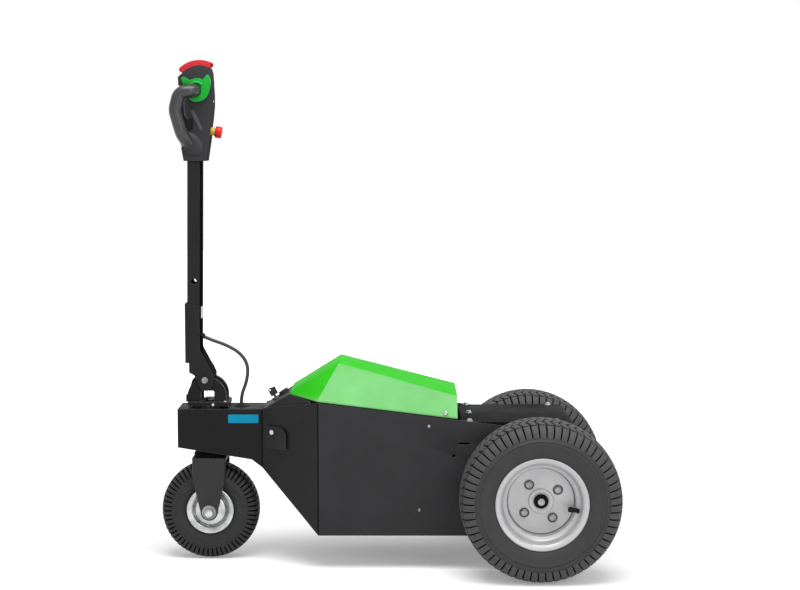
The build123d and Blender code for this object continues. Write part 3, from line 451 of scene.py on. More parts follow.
def aimed(shape, place, direction):
    """Turn a shape drawn on the Z axis to a direction and put it in place."""
    turn = Vector(direction).to_track_quat("Z", "Y").to_matrix()
    bmesh.ops.rotate(shape, verts=shape.verts, cent=(0, 0, 0), matrix=turn)
    bmesh.ops.translate(shape, verts=shape.verts, vec=place)
    return shape


def raised(shape, faces, way):
    """Draw faces out by a vector into a solid."""
    made = bmesh.ops.extrude_face_region(shape, geom=faces)
    moved = [item for item in made["geom"] if isinstance(item, bmesh.types.BMVert)]
    bmesh.ops.translate(shape, verts=moved, vec=way)
    bmesh.ops.recalc_face_normals(shape, faces=shape.faces)


def edges_above(shape, level):
    """The edges that lie wholly above a level."""
    return [e for e in shape.edges if all(v.co.z > level for v in e.verts)]


def round_post(radius, height, rounding=0.0, sides=28):
    """A turned post standing on the origin, with its top edge rounded."""
    shape = bmesh.new()
    bmesh.ops.create_circle(shape, cap_ends=True, radius=radius, segments=sides)
    raised(shape, shape.faces[:], (0, 0, height))
    if rounding:
        rounded_off(shape, edges_above(shape, height / 2), rounding, steps=3)
    return shape


def hex_head(across, height, washer):
    """A flanged hexagon head: a thin round flange under a chamfered hexagon."""
    chamfer = height * 0.16
    flange_height = height * 0.28
    flange_rounding = height * 0.08
    nut = bmesh.new()
    bmesh.ops.create_circle(nut, cap_ends=True, radius=across / math.sqrt(3), segments=6)
    raised(nut, nut.faces[:], (0, 0, height))
    rounded_off(nut, edges_above(nut, height / 2), chamfer, steps=2)
    return joined(nut, round_post(washer, flange_height, flange_rounding))


DECK_Z = 0.378
DECK_BOLT_PLACES = ((0.2120, -0.1355), (0.2140, 0.0), (0.2110, 0.1355), (0.430, 0.1355), (0.430, -0.1355))
deck_bolts = [
    aimed(hex_head(across=0.0110, height=0.0062, washer=0.0082), (x, y, DECK_Z), (0, 0, 1))
    for x, y in DECK_BOLT_PLACES
]
fit("deck_bolts", joined(*deck_bolts), "chassis", zinc)
HITCH_FACE_X = 0.488
HITCH_BOLT_PLACES = ((-0.038, 0.204), (-0.038, 0.286), (0.038, 0.204), (0.038, 0.286))
hitch_bolts = [
    aimed(hex_head(across=0.013, height=0.007, washer=0.011), (HITCH_FACE_X, y, z), (1, 0, 0))
    for y, z in HITCH_BOLT_PLACES
]
fit("hitch_bolts", joined(*hitch_bolts), "chassis", zinc)

# The hood is a lighter sheet folded into five facets, welded and painted a bright satin green. It drops
# over a rubber edge strip and is held by button-head screws. Its upper faces stand a little proud.
hood_paint = coated(
    "hood_green_paint", powder,
    {"Colour": (0.034, 0.54, 0.014), "Scuff And Highlight Colour": (0.30, 0.80, 0.27), "Grain": 1400.0, "Roughness": 0.55,
     "Scuff And Highlight": 0.35}, shine=0.05, depth=0.00005)
# Painted highlight: the side facets, turned to Y, are painted a paler, whiter green for the lamp's sheen on
# them.
painted_light_by_facing(hood_paint, "Y", low=0.64, high=0.78, colour=(0.205, 0.58, 0.195))
HOOD_LIFT = 0.004
HOOD_FRONT_X = -0.2
HOOD_HALF_TOP = 0.12
hood = eased_copy("hood", radius=0.0016, steps=3, corner=5)
for vert in hood.verts:
    if vert.co.x > HOOD_FRONT_X and abs(vert.co.y) < HOOD_HALF_TOP:
        vert.co.z += HOOD_LIFT
fit("hood_eased", hood, "chassis", hood_paint, ("hood",), corner=28)
rubber_strip = coated(
    "rubber_strip", powder,
    {"Colour": (0.010, 0.010, 0.011), "Scuff And Highlight Colour": (0.03, 0.03, 0.03), "Grain": 700.0, "Roughness": 0.7,
     "Scuff And Highlight": 0.2}, shine=0.2, depth=0.0001)
repaint(rubber_strip, "hood_seal")


def socket_screw(radius, height):
    """A button head with its key socket."""
    crown_rounding = radius * 0.4
    socket_wall = radius * 0.12
    socket_depth = height * 0.4
    shape = round_post(radius, height, crown_rounding)
    crown = max(shape.faces, key=lambda face: face.calc_center_median().z)
    bmesh.ops.inset_region(shape, faces=[crown], thickness=socket_wall, depth=0.0)
    bmesh.ops.translate(shape, verts=crown.verts, vec=(0, 0, -socket_depth))
    return shape


FLANK_Y = -0.148
HOOD_SCREW_X = 0.151
HOOD_SCREW_Z = 0.400
hood_screws = [
    aimed(socket_screw(radius=0.0058, height=0.0036), (HOOD_SCREW_X, side * FLANK_Y, HOOD_SCREW_Z),
          (0, -side, 0))
    for side in (1, -1)
]
NOSE_SCREW_PLACE = (-0.2356, 0.071, 0.4490)
NOSE_SCREW_WAY = (-0.50, 0.0, 0.86)
hood_screws.append(aimed(socket_screw(radius=0.0048, height=0.0026), NOSE_SCREW_PLACE, NOSE_SCREW_WAY))
fit("hood_screws", joined(*hood_screws), "chassis", zinc)
dull_zinc = coated(
    "dull_zinc_plate", plated,
    {"Colour": (0.34, 0.34, 0.34), "Stain": (0.15, 0.155, 0.155), "Roughness": 0.38, "Streak": 500.0},
    shine=0.5, depth=0.00008, metallic=1.0)
SIDE_SCREW_PLACES = ((0.109, 0.367), (0.085, 0.153))
side_screws = [
    aimed(socket_screw(radius=0.0042, height=0.0026), (x, side * FLANK_Y, z), (0, -side, 0))
    for side in (1, -1) for x, z in SIDE_SCREW_PLACES
]
fit("side_screws", joined(*side_screws), "chassis", dull_zinc)

# A key switch in a nickel plated barrel and a round charge dial are set side by side in the sloping dash.
# Each goes through a hole in the sheet and is held by a ring nut behind it; the key's bow is moulded.
key_nickel = coated(
    "key_nickel", plated,
    {"Colour": (0.20, 0.20, 0.20), "Stain": (0.10, 0.10, 0.10), "Roughness": 0.40, "Streak": 600.0},
    shine=0.4, depth=0.00005, metallic=0.7)
black_plastic = coated(
    "moulded_black_plastic", powder,
    {"Colour": (0.024, 0.023, 0.026), "Scuff And Highlight Colour": (0.09, 0.09, 0.095), "Grain": 1100.0, "Roughness": 0.46,
     "Scuff And Highlight": 0.3}, shine=0.35, depth=0.00015)
repaint(key_nickel, "key_switch")
repaint(black_plastic, "key", "charge_dial")

# The charging socket is a moulded insert in the cheek. A cover plate cut from sheet swings in front of it
# on one plated screw, and its foot stops a little short of the fold below.
FLAP_TRIM = 0.005
FLAP_FOOT_BAND = 0.004
flap = eased_copy("charge_flap", radius=0.0008)
flap_foot = min(vert.co.z for vert in flap.verts)
for vert in flap.verts:
    if vert.co.z < flap_foot + FLAP_FOOT_BAND:
        vert.co.z += FLAP_TRIM
fit("charge_flap_eased", flap, "flap", body_coat, ("charge_flap",))
repaint(zinc, "flap_screw")
repaint(black_plastic, "charge_socket")

# A strip of blue vinyl film is stuck flat on the side of the neck. It is cut with rounded corners, so
# that they don't lift from the powder coat.
label_film = coated(
    "label_film", powder,
    {"Colour": (0.0, 0.27, 0.45), "Scuff And Highlight Colour": (0.03, 0.38, 0.56), "Grain": 300.0, "Roughness": 0.45,
     "Scuff And Highlight": 0.2}, shine=0.15, depth=0.00003)
LABEL_PLACE = (-0.3668, -0.056, 0.371)
LABEL_SIZE = (0.0776, 0.022, 1.0)
LABEL_CORNER = 0.002
LABEL_THICK = 0.0003


def turned(shape, degrees, axis):
    """Turn a shape about an axis through the origin."""
    turn = Matrix.Rotation(math.radians(degrees), 3, axis)
    bmesh.ops.rotate(shape, verts=shape.verts, cent=(0, 0, 0), matrix=turn)


label = bmesh.new()
bmesh.ops.create_grid(label, x_segments=1, y_segments=1, size=0.5)
bmesh.ops.scale(label, verts=label.verts, vec=LABEL_SIZE)
rounded_off(label, label.verts[:], LABEL_CORNER, steps=3, affect="VERTICES")
raised(label, label.faces[:], (0, 0, LABEL_THICK))
turned(label, 90, "X")
bmesh.ops.translate(label, verts=label.verts, vec=LABEL_PLACE)
fit("neck_label", label, "chassis", label_film)

# The steering head tube is welded through the neck. Below it the fork is bent from thick plate and
# holds the front axle bolt, with a plain washer and a lock nut at each end.
STEER_X = -0.457
FRONT_AXLE_Z = 0.127
fork_coat = coated(
    "fork_powder_coat", powder,
    {"Colour": (0.020, 0.020, 0.021), "Scuff And Highlight Colour": (0.13, 0.13, 0.13), "Grain": 950.0, "Roughness": 0.5,
     "Scuff And Highlight": 0.6}, shine=0.3, depth=0.00012)
repaint(neck_coat, "head_tube", "steering_stem")
BOSS_Z = 0.2765
COVER_Z = 0.2675
head_boss = aimed(round_post(radius=0.0400, height=0.0207, sides=48), (STEER_X, 0.0, BOSS_Z), (0, 0, 1))
fit("head_boss", head_boss, "chassis", seam_sealer)
bearing_cover = round_post(radius=0.0430, height=0.0082, rounding=0.002, sides=48)
bearing_cover = aimed(bearing_cover, (STEER_X, 0.0, COVER_Z), (0, 0, 1))
fit("bearing_cover", bearing_cover, "steering_head", seam_sealer)
ease("fork", "steering_head", fork_coat, radius=0.0012)
ease("front_axle", "steering_head", dull_zinc, radius=0.0008)
axle_low, axle_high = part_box("front_axle")
axle_nuts = [
    aimed(hex_head(across=0.0190, height=0.0046, washer=0.0104), (STEER_X, reach, FRONT_AXLE_Z), (0, side, 0))
    for side, reach in ((-1, axle_low[1]), (1, axle_high[1]))
]
fit("front_axle_nuts", joined(*axle_nuts), "steering_head", zinc)

# All three tyres are moulded rubber. The carcass is turned from its section; the tread is rows of
# separate blocks, wrapped over the crown, with shoulder bars that run down the sidewall.
RUBBER_EDGE_HIGHLIGHT_WIDTH = 0.0022
RUBBER_EDGE_HIGHLIGHT_SHARE = 0.5
rubber, rubber_in, rubber_out, rubber_place = effect_group(
    "moulded_rubber",
    [("Colour", colour_kind, (0.04, 0.04, 0.04, 1.0)), ("Dust And Edge Highlight Colour", colour_kind, (0.1, 0.1, 0.1, 1.0)),
     ("Dust", number_kind, 0.5), ("Roughness", number_kind, 0.7)],
    [("Colour", colour_kind), ("Roughness", number_kind), ("Height", number_kind)],
)
rubber_at = rubber_place.outputs["Object"]
dust_clouds = noise_in(rubber, rubber_at, scale=38.0, detail=6.0, roughness=0.7)
dust_specks = noise_in(rubber, rubber_at, scale=420.0, detail=3.0, roughness=0.6)
dusty = ranged(rubber, dust_clouds, low=0.42, high=0.72)
specks = ranged(rubber, dust_specks, low=0.55, high=0.72)
dusty = combined(rubber, "MULTIPLY", combined(rubber, "ADD", dusty, specks), rubber_in.outputs["Dust"])
# Painted highlight: the rubber's edges are lightened towards the same pale colour as the dust, on top of the
# dust.
edges = combined(rubber, "MULTIPLY", edge_mask(rubber, RUBBER_EDGE_HIGHLIGHT_WIDTH), RUBBER_EDGE_HIGHLIGHT_SHARE)
dusty = combined(rubber, "MINIMUM", combined(rubber, "ADD", dusty, edges), 1.0)
rubber.links.new(blended(rubber, dusty, rubber_in.outputs["Colour"], rubber_in.outputs["Dust And Edge Highlight Colour"]),
                 rubber_out.inputs["Colour"])
dust_dull = ranged(rubber, dusty, low=0.0, high=1.0, to_low=-0.04, to_high=0.12)
rubber_dull = combined(rubber, "ADD", rubber_in.outputs["Roughness"], dust_dull)
rubber.links.new(rubber_dull, rubber_out.inputs["Roughness"])
rubber.links.new(noise_in(rubber, rubber_at, scale=850.0, detail=3.0), rubber_out.inputs["Height"])
tread_rubber = coated(
    "tread_rubber", rubber,
    {"Colour": (0.050, 0.050, 0.051), "Dust And Edge Highlight Colour": (0.13, 0.129, 0.127), "Dust": 0.20, "Roughness": 0.68},
    shine=0.35, depth=0.0002)
# Painted shade: the carcass's crown between the tread blocks is painted near black.
groove_painted_shade = coated(
    "groove_painted_shade", rubber,
    {"Colour": (0.0035, 0.0035, 0.0035), "Dust And Edge Highlight Colour": (0.03, 0.03, 0.03), "Dust": 0.1, "Roughness": 0.85},
    shine=0.05, depth=0.0002)
wall_rubber = coated(
    "wall_rubber", rubber,
    {"Colour": (0.031, 0.031, 0.032), "Dust And Edge Highlight Colour": (0.085, 0.084, 0.083), "Dust": 0.18, "Roughness": 0.62},
    shine=0.28, depth=0.00015)
front_rubber = coated(
    "front_wall_rubber", rubber,
    {"Colour": (0.014, 0.014, 0.0145), "Dust And Edge Highlight Colour": (0.06, 0.06, 0.059), "Dust": 0.2, "Roughness": 0.55},
    shine=0.30, depth=0.00015)


def turned_ring(points, centre, steps, side=1):
    """Spin a section of (radius, reach) points about an axle along Y, on one side of its centre."""
    shape = bmesh.new()
    verts = [shape.verts.new((0.0, side * reach, radius)) for radius, reach in points]
    edges = [shape.edges.new(pair) for pair in zip(verts, verts[1:])]
    bmesh.ops.spin(shape, geom=verts + edges, cent=(0, 0, 0), axis=(0, 1, 0), angle=math.tau, steps=steps,
                   use_merge=True)
    bmesh.ops.recalc_face_normals(shape, faces=shape.faces)
    bmesh.ops.translate(shape, verts=shape.verts, vec=centre)
    return shape


def along_section(points, distance):
    """Point and outward direction at a distance along a half section, from its crown outwards."""
    for (r0, y0), (r1, y1) in zip(points, points[1:]):
        span = math.dist((r0, y0), (r1, y1))
        if distance <= span or (r1, y1) == points[-1]:
            share = distance / span
            outward = Vector((y1 - y0, r0 - r1)).normalized()
            return r0 + (r1 - r0) * share, y0 + (y1 - y0) * share, outward
        distance -= span


BLOCK_CHAMFER = 0.09
BLOCK_TAPER = 0.08
BLOCK_SINK = 0.0015


def tread_block(points, near, far, width, lean, height, side, shift, cuts, fade=0.0):
    """One block of tread: a flat bar with eased edges, wrapped over one half of the carcass.

    Fade is how much of its height it loses on its way out to the wall.
    """
    shape = bmesh.new()
    bmesh.ops.create_cube(shape, size=1.0)
    rounded_off(shape, edges_above(shape, 0), BLOCK_CHAMFER, steps=1)
    bars = [e for e in shape.edges if abs(e.verts[0].co.y - e.verts[1].co.y) > 0.5]
    bmesh.ops.subdivide_edges(shape, edges=bars, cuts=cuts, use_grid_fill=True)
    crown_r = points[0][0]
    for vert in shape.verts:
        out = vert.co.y + 0.5
        up = vert.co.z + 0.5
        across = shift + vert.co.x * width * (1.0 - BLOCK_TAPER * up) + lean * vert.co.y
        radius, reach, outward = along_section(points, near + out * (far - near))
        lift = up * (height * (1.0 - fade * out ** 2) + BLOCK_SINK) - BLOCK_SINK
        radius += outward.x * lift
        reach += outward.y * lift
        turn = across / crown_r
        vert.co = (radius * math.sin(turn), side * reach, radius * math.cos(turn))
    if side < 0:
        bmesh.ops.reverse_faces(shape, faces=shape.faces)
    return shape


def carcass(node, section, groove_end, centre, steps, body, wall):
    """The body of a tyre: its crown is painted near black for the grooves' shade, its walls are plain rubber.
    """
    crown = section[:groove_end]
    mirrored_crown = [(radius, -reach) for radius, reach in reversed(crown[1:])]
    fit(node + "_groove_floor", turned_ring(mirrored_crown + crown, centre, steps), body,
        groove_painted_shade)
    walls = [turned_ring(section[groove_end - 1:], centre, steps, side) for side in (1, -1)]
    fit(node + "_walls", joined(*walls), body, wall, (node,), corner=40)


def tread(section, centre, pitches, rows):
    """The rings of tread blocks."""
    blocks = []
    for row in rows:
        for side in (1, -1):
            blocks.append(tread_block(section, side=side, **{**row, "shift": row["shift"] * side}))
    ring = joined(*blocks)
    bmesh.ops.spin(ring, geom=ring.verts[:] + ring.edges[:] + ring.faces[:], cent=(0, 0, 0), axis=(0, 1, 0),
                   angle=math.tau * (pitches - 1) / pitches, steps=pitches - 1, use_duplicate=True)
    bmesh.ops.translate(ring, verts=ring.verts, vec=centre)
    return ring


FRONT_CENTRE = (STEER_X, 0.0, FRONT_AXLE_Z)
FRONT_SECTION = [
    (0.1208, 0.0), (0.1206, 0.010), (0.1197, 0.020), (0.1176, 0.0282), (0.1135, 0.0342),
    (0.1075, 0.0378), (0.0990, 0.0402), (0.0950, 0.0412), (0.0935, 0.0418), (0.0905, 0.0418),
    (0.0893, 0.0428), (0.0872, 0.0428), (0.0862, 0.0416), (0.0800, 0.0408), (0.0735, 0.0392),
    (0.0680, 0.0365), (0.0635, 0.0330), (0.0612, 0.0300), (0.0560, 0.0290),
]
FRONT_GROOVE_END = 7
FRONT_STEPS = 92
FRONT_PITCHES = 58
FRONT_PITCH = math.tau * FRONT_SECTION[0][0] / FRONT_PITCHES
front_rows = [
    dict(near=0.0235, far=0.0520, width=FRONT_PITCH * 0.68, lean=0.0, height=0.0050, shift=0.0, cuts=5,
         fade=0.85),
    dict(near=0.0124, far=0.0218, width=FRONT_PITCH * 0.72, lean=0.005, height=0.0056,
         shift=FRONT_PITCH * 0.25, cuts=1),
    dict(near=0.0010, far=0.0106, width=FRONT_PITCH * 0.72, lean=-0.005, height=0.0058,
         shift=FRONT_PITCH * 0.25, cuts=1),
]
carcass("front_tyre", FRONT_SECTION, FRONT_GROOVE_END, FRONT_CENTRE, FRONT_STEPS, "front_wheel", front_rubber)
fit("front_tyre_tread", tread(FRONT_SECTION, FRONT_CENTRE, FRONT_PITCHES, front_rows), "front_wheel",
    front_rubber, corner=40)

# The front wheel's rim is pressed from zinc plated sheet in two halves with rolled lips. The halves are
# joined in the middle and sit on a turned hub, which runs on the axle bolt.
FRONT_RIM = [
    (0.0500, 0.0270), (0.0560, 0.0292), (0.0600, 0.0300), (0.0612, 0.0312), (0.0611, 0.0332),
    (0.0594, 0.0343), (0.0560, 0.0341), (0.0520, 0.0328), (0.0480, 0.0314), (0.0456, 0.0300),
    (0.0447, 0.0270), (0.0440, 0.0228), (0.0426, 0.0218), (0.0412, 0.0228), (0.0403, 0.0255),
    (0.0385, 0.0276), (0.0345, 0.0288), (0.0300, 0.0292), (0.0240, 0.0292), (0.0222, 0.0300),
    (0.0218, 0.0438), (0.0205, 0.0447), (0.0102, 0.0447),
]
FRONT_RIM_STEPS = 72
front_rim = joined(*[turned_ring(FRONT_RIM, FRONT_CENTRE, FRONT_RIM_STEPS, side) for side in (1, -1)])
fit("front_rim_pressed", front_rim, "front_wheel", zinc, ("front_rim",))

# The rear wheels are wide turf tyres on deep steel rims painted silver grey. Each rim's disc is held on the
# hub by four flanged nuts, with the spindle's end in the middle and a rubber valve through the barrel.
REAR_SECTION = [
    (0.1938, 0.0), (0.1936, 0.018), (0.1928, 0.036), (0.1903, 0.0515), (0.1865, 0.0615),
    (0.1808, 0.0690), (0.1732, 0.0740), (0.1665, 0.0768), (0.1625, 0.0790), (0.1600, 0.0800),
    (0.1590, 0.0815), (0.1572, 0.0815), (0.1560, 0.0800), (0.1525, 0.0803), (0.1510, 0.0815),
    (0.1494, 0.0815), (0.1480, 0.0804), (0.1400, 0.0797), (0.1320, 0.0778), (0.1255, 0.0752),
    (0.1200, 0.0722), (0.1165, 0.0700), (0.1150, 0.0685), (0.1080, 0.0670),
]
REAR_GROOVE_END = 8
REAR_STEPS = 124
REAR_PITCHES = 62
REAR_PITCH = math.tau * REAR_SECTION[0][0] / REAR_PITCHES
rear_rows = [
    dict(near=0.0545, far=0.0892, width=REAR_PITCH * 0.83, lean=0.0015, height=0.0058, shift=0.0, cuts=6,
         fade=0.8),
    dict(near=0.0275, far=0.0515, width=REAR_PITCH * 0.76, lean=0.0095, height=0.0066,
         shift=REAR_PITCH * 0.18, cuts=1),
    dict(near=0.0014, far=0.0245, width=REAR_PITCH * 0.76, lean=-0.0095, height=0.0070,
         shift=REAR_PITCH * 0.18, cuts=1),
]
rim_paint = coated(
    "rim_silver_paint", powder,
    {"Colour": (0.53, 0.53, 0.535), "Scuff And Highlight Colour": (0.68, 0.68, 0.68), "Grain": 700.0, "Roughness": 0.42,
     "Scuff And Highlight": 0.5}, shine=0.5, depth=0.00008, metallic=0.35)
REAR_RIM = [
    (0.1100, -0.0670), (0.1145, -0.0680), (0.1145, -0.0705), (0.1120, -0.0722), (0.1065, -0.0700),
    (0.1010, -0.0655), (0.0990, -0.0600), (0.0985, -0.0480), (0.0955, -0.0440), (0.0850, -0.0400),
    (0.0838, -0.0380), (0.0838, -0.0100), (0.0838, 0.0190), (0.0842, 0.0300), (0.0862, 0.0372),
    (0.0905, 0.0402), (0.0945, 0.0425), (0.0970, 0.0462), (0.0980, 0.0520), (0.0985, 0.0605),
    (0.1000, 0.0650), (0.1035, 0.0686), (0.1080, 0.0712), (0.1120, 0.0722), (0.1145, 0.0708),
    (0.1148, 0.0688), (0.1128, 0.0672), (0.1080, 0.0666),
]
REAR_DISC = [
    (0.0840, 0.0120), (0.0836, 0.0160), (0.0818, 0.0188), (0.0790, 0.0196), (0.0768, 0.0192),
    (0.0750, 0.0196), (0.0330, 0.0196), (0.0312, 0.0204), (0.0304, 0.0240), (0.0290, 0.0252),
    (0.0190, 0.0252), (0.0178, 0.0244), (0.0174, 0.0190),
]
REAR_RIM_STEPS = 112
REAR_AXLE_X = 0.383
REAR_AXLE_Z = 0.201
REAR_HALF_TRACK = 0.243
NUT_CIRCLE = 0.050
NUT_REACH = 0.0194
NUT_TURNS = (34.0, 126.0, 215.0, 305.0)
NUT_SEAT_STEPS = 32
NUT_SEAT = [(0.0142, 0.0), (0.0136, 0.0013), (0.0126, 0.0016)]
NUT_DIMPLE = [(0.0126, 0.0016), (0.0118, 0.0006), (0.0085, 0.0003)]
AXLE_END_REACH = 0.0328
VALVE_TURN = -13.0
VALVE_CIRCLE = 0.0975
VALVE_REACH = 0.034
VALVE_SPLAY = 0.42
VALVE_BOOT = dict(radius=0.0082, height=0.009, rounding=0.002)
VALVE_STEM = dict(radius=0.0058, height=0.026, rounding=0.001)
VALVE_CAP = dict(radius=0.0066, height=0.010, rounding=0.0015)
VALVE_CAP_START = 0.0215
# Painted shade: the dimples round the wheel nuts are painted dark grey.
nut_shade = coated(
    "nut_dimple_painted_shade", powder,
    {"Colour": (0.10, 0.10, 0.102), "Scuff And Highlight Colour": (0.3, 0.3, 0.3), "Grain": 700.0, "Roughness": 0.6,
     "Scuff And Highlight": 0.2}, shine=0.3, depth=0.00008)
for side, name in ((-1, "left"), (1, "right")):
    body = "rear_wheel_" + name
    centre = Vector((REAR_AXLE_X, side * REAR_HALF_TRACK, REAR_AXLE_Z))
    carcass("rear_tyre_" + name, REAR_SECTION, REAR_GROOVE_END, centre, REAR_STEPS, body, wall_rubber)
    fit("rear_tyre_tread_" + name, tread(REAR_SECTION, centre, REAR_PITCHES, rear_rows), body,
        tread_rubber, corner=40)
    rim = turned_ring(REAR_RIM, centre, REAR_RIM_STEPS, side)
    disc = turned_ring(REAR_DISC, centre, REAR_RIM_STEPS, side)
    fit("rear_rim_pressed_" + name, joined(rim, disc), body, rim_paint, ("rear_rim_" + name,))
    nuts = []
    seats = []
    dimples = []
    for turn in NUT_TURNS:
        way = math.radians(turn)
        spot = centre + Vector((NUT_CIRCLE * math.cos(way), side * NUT_REACH, NUT_CIRCLE * math.sin(way)))
        seats.append(turned_ring(NUT_SEAT, spot, NUT_SEAT_STEPS, side))
        dimples.append(turned_ring(NUT_DIMPLE, spot, NUT_SEAT_STEPS, side))
        nuts.append(aimed(hex_head(across=0.0145, height=0.0080, washer=0.0088), spot, (0, side, 0)))
    fit("wheel_nut_seats_" + name, joined(*seats), body, rim_paint)
    fit("wheel_nut_dimples_" + name, joined(*dimples), body, nut_shade)
    fit("wheel_nuts_" + name, joined(*nuts), body, dull_zinc)
    axle_end = round_post(radius=0.0090, height=0.0030, rounding=0.0012)
    axle_end = aimed(axle_end, centre + Vector((0, side * AXLE_END_REACH, 0)), (0, side, 0))
    fit("axle_end_" + name, axle_end, body, dull_zinc)
    way = math.radians(VALVE_TURN)
    inward = Vector((-math.cos(way), side * VALVE_SPLAY, -math.sin(way))).normalized()
    spread = Vector((VALVE_CIRCLE * math.cos(way), side * VALVE_REACH, VALVE_CIRCLE * math.sin(way)))
    valve = [
        aimed(round_post(**part), centre + spread + inward * start, inward)
        for part, start in ((VALVE_BOOT, 0.0), (VALVE_STEM, 0.0), (VALVE_CAP, VALVE_CAP_START))
    ]
    fit("valve_stem_" + name, joined(*valve), body, rubber_strip)
    repaint(seam_sealer, "rear_hub_" + name)

# The tiller stands on a welded portal of thick plate: a base plate and two round-topped cheeks with a
# window for the stem nut. A block of soft black rubber stops the mast when it is upright.
WINDOW_X = -0.460
WINDOW_HALF = 0.0150
WINDOW_TOP = 0.4425
WINDOW_SPREAD = 1.25
BASE_TOP = 0.412
WINDOW_FOOT = BASE_TOP - 0.0003
portal = eased_copy("tiller_base", radius=0.0012)
for vert in portal.verts:
    if abs(vert.co.x - WINDOW_X) < WINDOW_HALF and WINDOW_FOOT < vert.co.z < WINDOW_TOP:
        vert.co.x = WINDOW_X + (vert.co.x - WINDOW_X) * WINDOW_SPREAD
fit("tiller_base_eased", portal, "steering_head", neck_coat, ("tiller_base",))
STEM_NUT_Z = 0.4140
stem_nut = aimed(hex_head(across=0.0235, height=0.0062, washer=0.0128), (STEER_X, 0.0, STEM_NUT_Z), (0, 0, 1))
fit("stem_nut", stem_nut, "steering_head", zinc)
ease("tilt_buffer", "steering_head", rubber_strip, radius=0.002, steps=3)
BASE_BOLT_X = -0.415
BASE_BOLT_Y = 0.0395
base_bolts = [
    aimed(socket_screw(radius=0.0048, height=0.0034), (BASE_BOLT_X, side * BASE_BOLT_Y, BASE_TOP), (0, 0, 1))
    for side in (-1, 1)
]
fit("base_bolts", joined(*base_bolts), "steering_head", dull_zinc)
EDGE_BOLT_X = -0.4455
EDGE_BOLT_Y = 0.0450
EDGE_BOLT_Z = 0.4052
edge_bolts = [
    aimed(socket_screw(radius=0.0040, height=0.0026), (EDGE_BOLT_X, side * EDGE_BOLT_Y, EDGE_BOLT_Z),
          (0, side, 0))
    for side in (1, -1)
]
fit("base_edge_bolts", joined(*edge_bolts), "steering_head", zinc)

# The mast is a rectangular steel tube that leans a little towards the machine above its bracket. The
# folded bracket is welded round its foot and turns on a plated bolt through the portal's cheeks.
mast_coat = coated(
    "mast_powder_coat", powder,
    {"Colour": (0.010, 0.010, 0.011), "Scuff And Highlight Colour": (0.12, 0.12, 0.12), "Grain": 950.0, "Roughness": 0.48,
     "Scuff And Highlight": 0.6}, shine=0.18, depth=0.00012)
# Painted shade: the back face, turned to +X, is painted a darker black and loses its shine.
painted_light_by_facing(mast_coat, "X", low=0.3, high=0.8, colour=(0.006, 0.006, 0.0065), shine=0.0)
MAST_LEAN_FROM = 0.66
MAST_LEAN = 0.0155
mast_tube = eased_copy("mast", radius=0.0006)
for vert in mast_tube.verts:
    vert.co.x += max(vert.co.z - MAST_LEAN_FROM, 0.0) * MAST_LEAN
fit("mast_eased", mast_tube, "tiller", mast_coat, ("mast",))
ease("mast_bracket", "tiller", mast_coat, radius=0.0009)
ease("pivot_bolt", "tiller", dull_zinc, radius=0.0008)
mast_strip = squared_bar(size=(0.0026, 0.030, 0.030), place=(-0.4774, 0.0, 0.641), easing=0.0008)
fit("mast_strip", mast_strip, "tiller", zinc)
repaint(rubber_strip, "cable_gland", "cable_grommet")

# The tiller head's housing is moulded in black plastic and held on the top of the mast by a screw. A web
# joins it to the grips, with a slanting rib that stands out on each side; both are painted a lighter grey
# than the housing, as painted light.
head_plastic = coated(
    "head_plastic", powder,
    {"Colour": (0.024, 0.024, 0.026), "Scuff And Highlight Colour": (0.09, 0.09, 0.095), "Grain": 1100.0, "Roughness": 0.5,
     "Scuff And Highlight": 0.3}, shine=0.25, depth=0.00015)
# Painted light: the back face, turned to +X, is painted a lighter grey in place of its shine.
painted_light_by_facing(head_plastic, "X", low=0.2, high=0.6, colour=(0.060, 0.060, 0.064), shine=0.0)
ease("head_housing", "tiller", head_plastic, radius=0.0032, steps=4, ending="_moulded")


def prism(outline, half_width, easing):
    """A plate cut to an outline of (x, z) points, centred on the middle plane, with rounded edges."""
    shape = bmesh.new()
    face = shape.faces.new([shape.verts.new((x, -half_width, z)) for x, z in outline])
    raised(shape, [face], (0, 2 * half_width, 0))
    rounded_off(shape, shape.edges[:], easing, steps=3)
    return shape


HEAD_WEB = [
    (-0.470, 1.198), (-0.503, 1.199), (-0.5155, 1.186), (-0.5165, 1.172), (-0.5140, 1.146),
    (-0.5065, 1.1365), (-0.494, 1.1375), (-0.470, 1.137),
]
# Painted light: the web and the ribs are painted a lighter grey than the housing.
web_painted_light = coated(
    "web_painted_light", powder,
    {"Colour": (0.060, 0.060, 0.064), "Scuff And Highlight Colour": (0.12, 0.12, 0.125), "Grain": 1100.0, "Roughness": 0.45,
     "Scuff And Highlight": 0.3}, shine=0.4, depth=0.00015)
fit("head_web", prism(HEAD_WEB, half_width=0.0190, easing=0.0035), "tiller", web_painted_light,
    corner=50)
HEAD_RIB = [(-0.4965, 1.1575), (-0.4885, 1.1610), (-0.4655, 1.1130), (-0.4725, 1.1075)]
fit("head_ribs", prism(HEAD_RIB, half_width=0.0408, easing=0.0012), "tiller", web_painted_light,
    corner=50)
HEAD_SCREW_PLACE = (-0.4430, 0.0, 1.1826)
HEAD_SCREW_WAY = (1, 0, 0.1)
head_screw = aimed(socket_screw(radius=0.0036, height=0.0022), HEAD_SCREW_PLACE, HEAD_SCREW_WAY)
fit("head_screw", head_screw, "tiller", zinc)

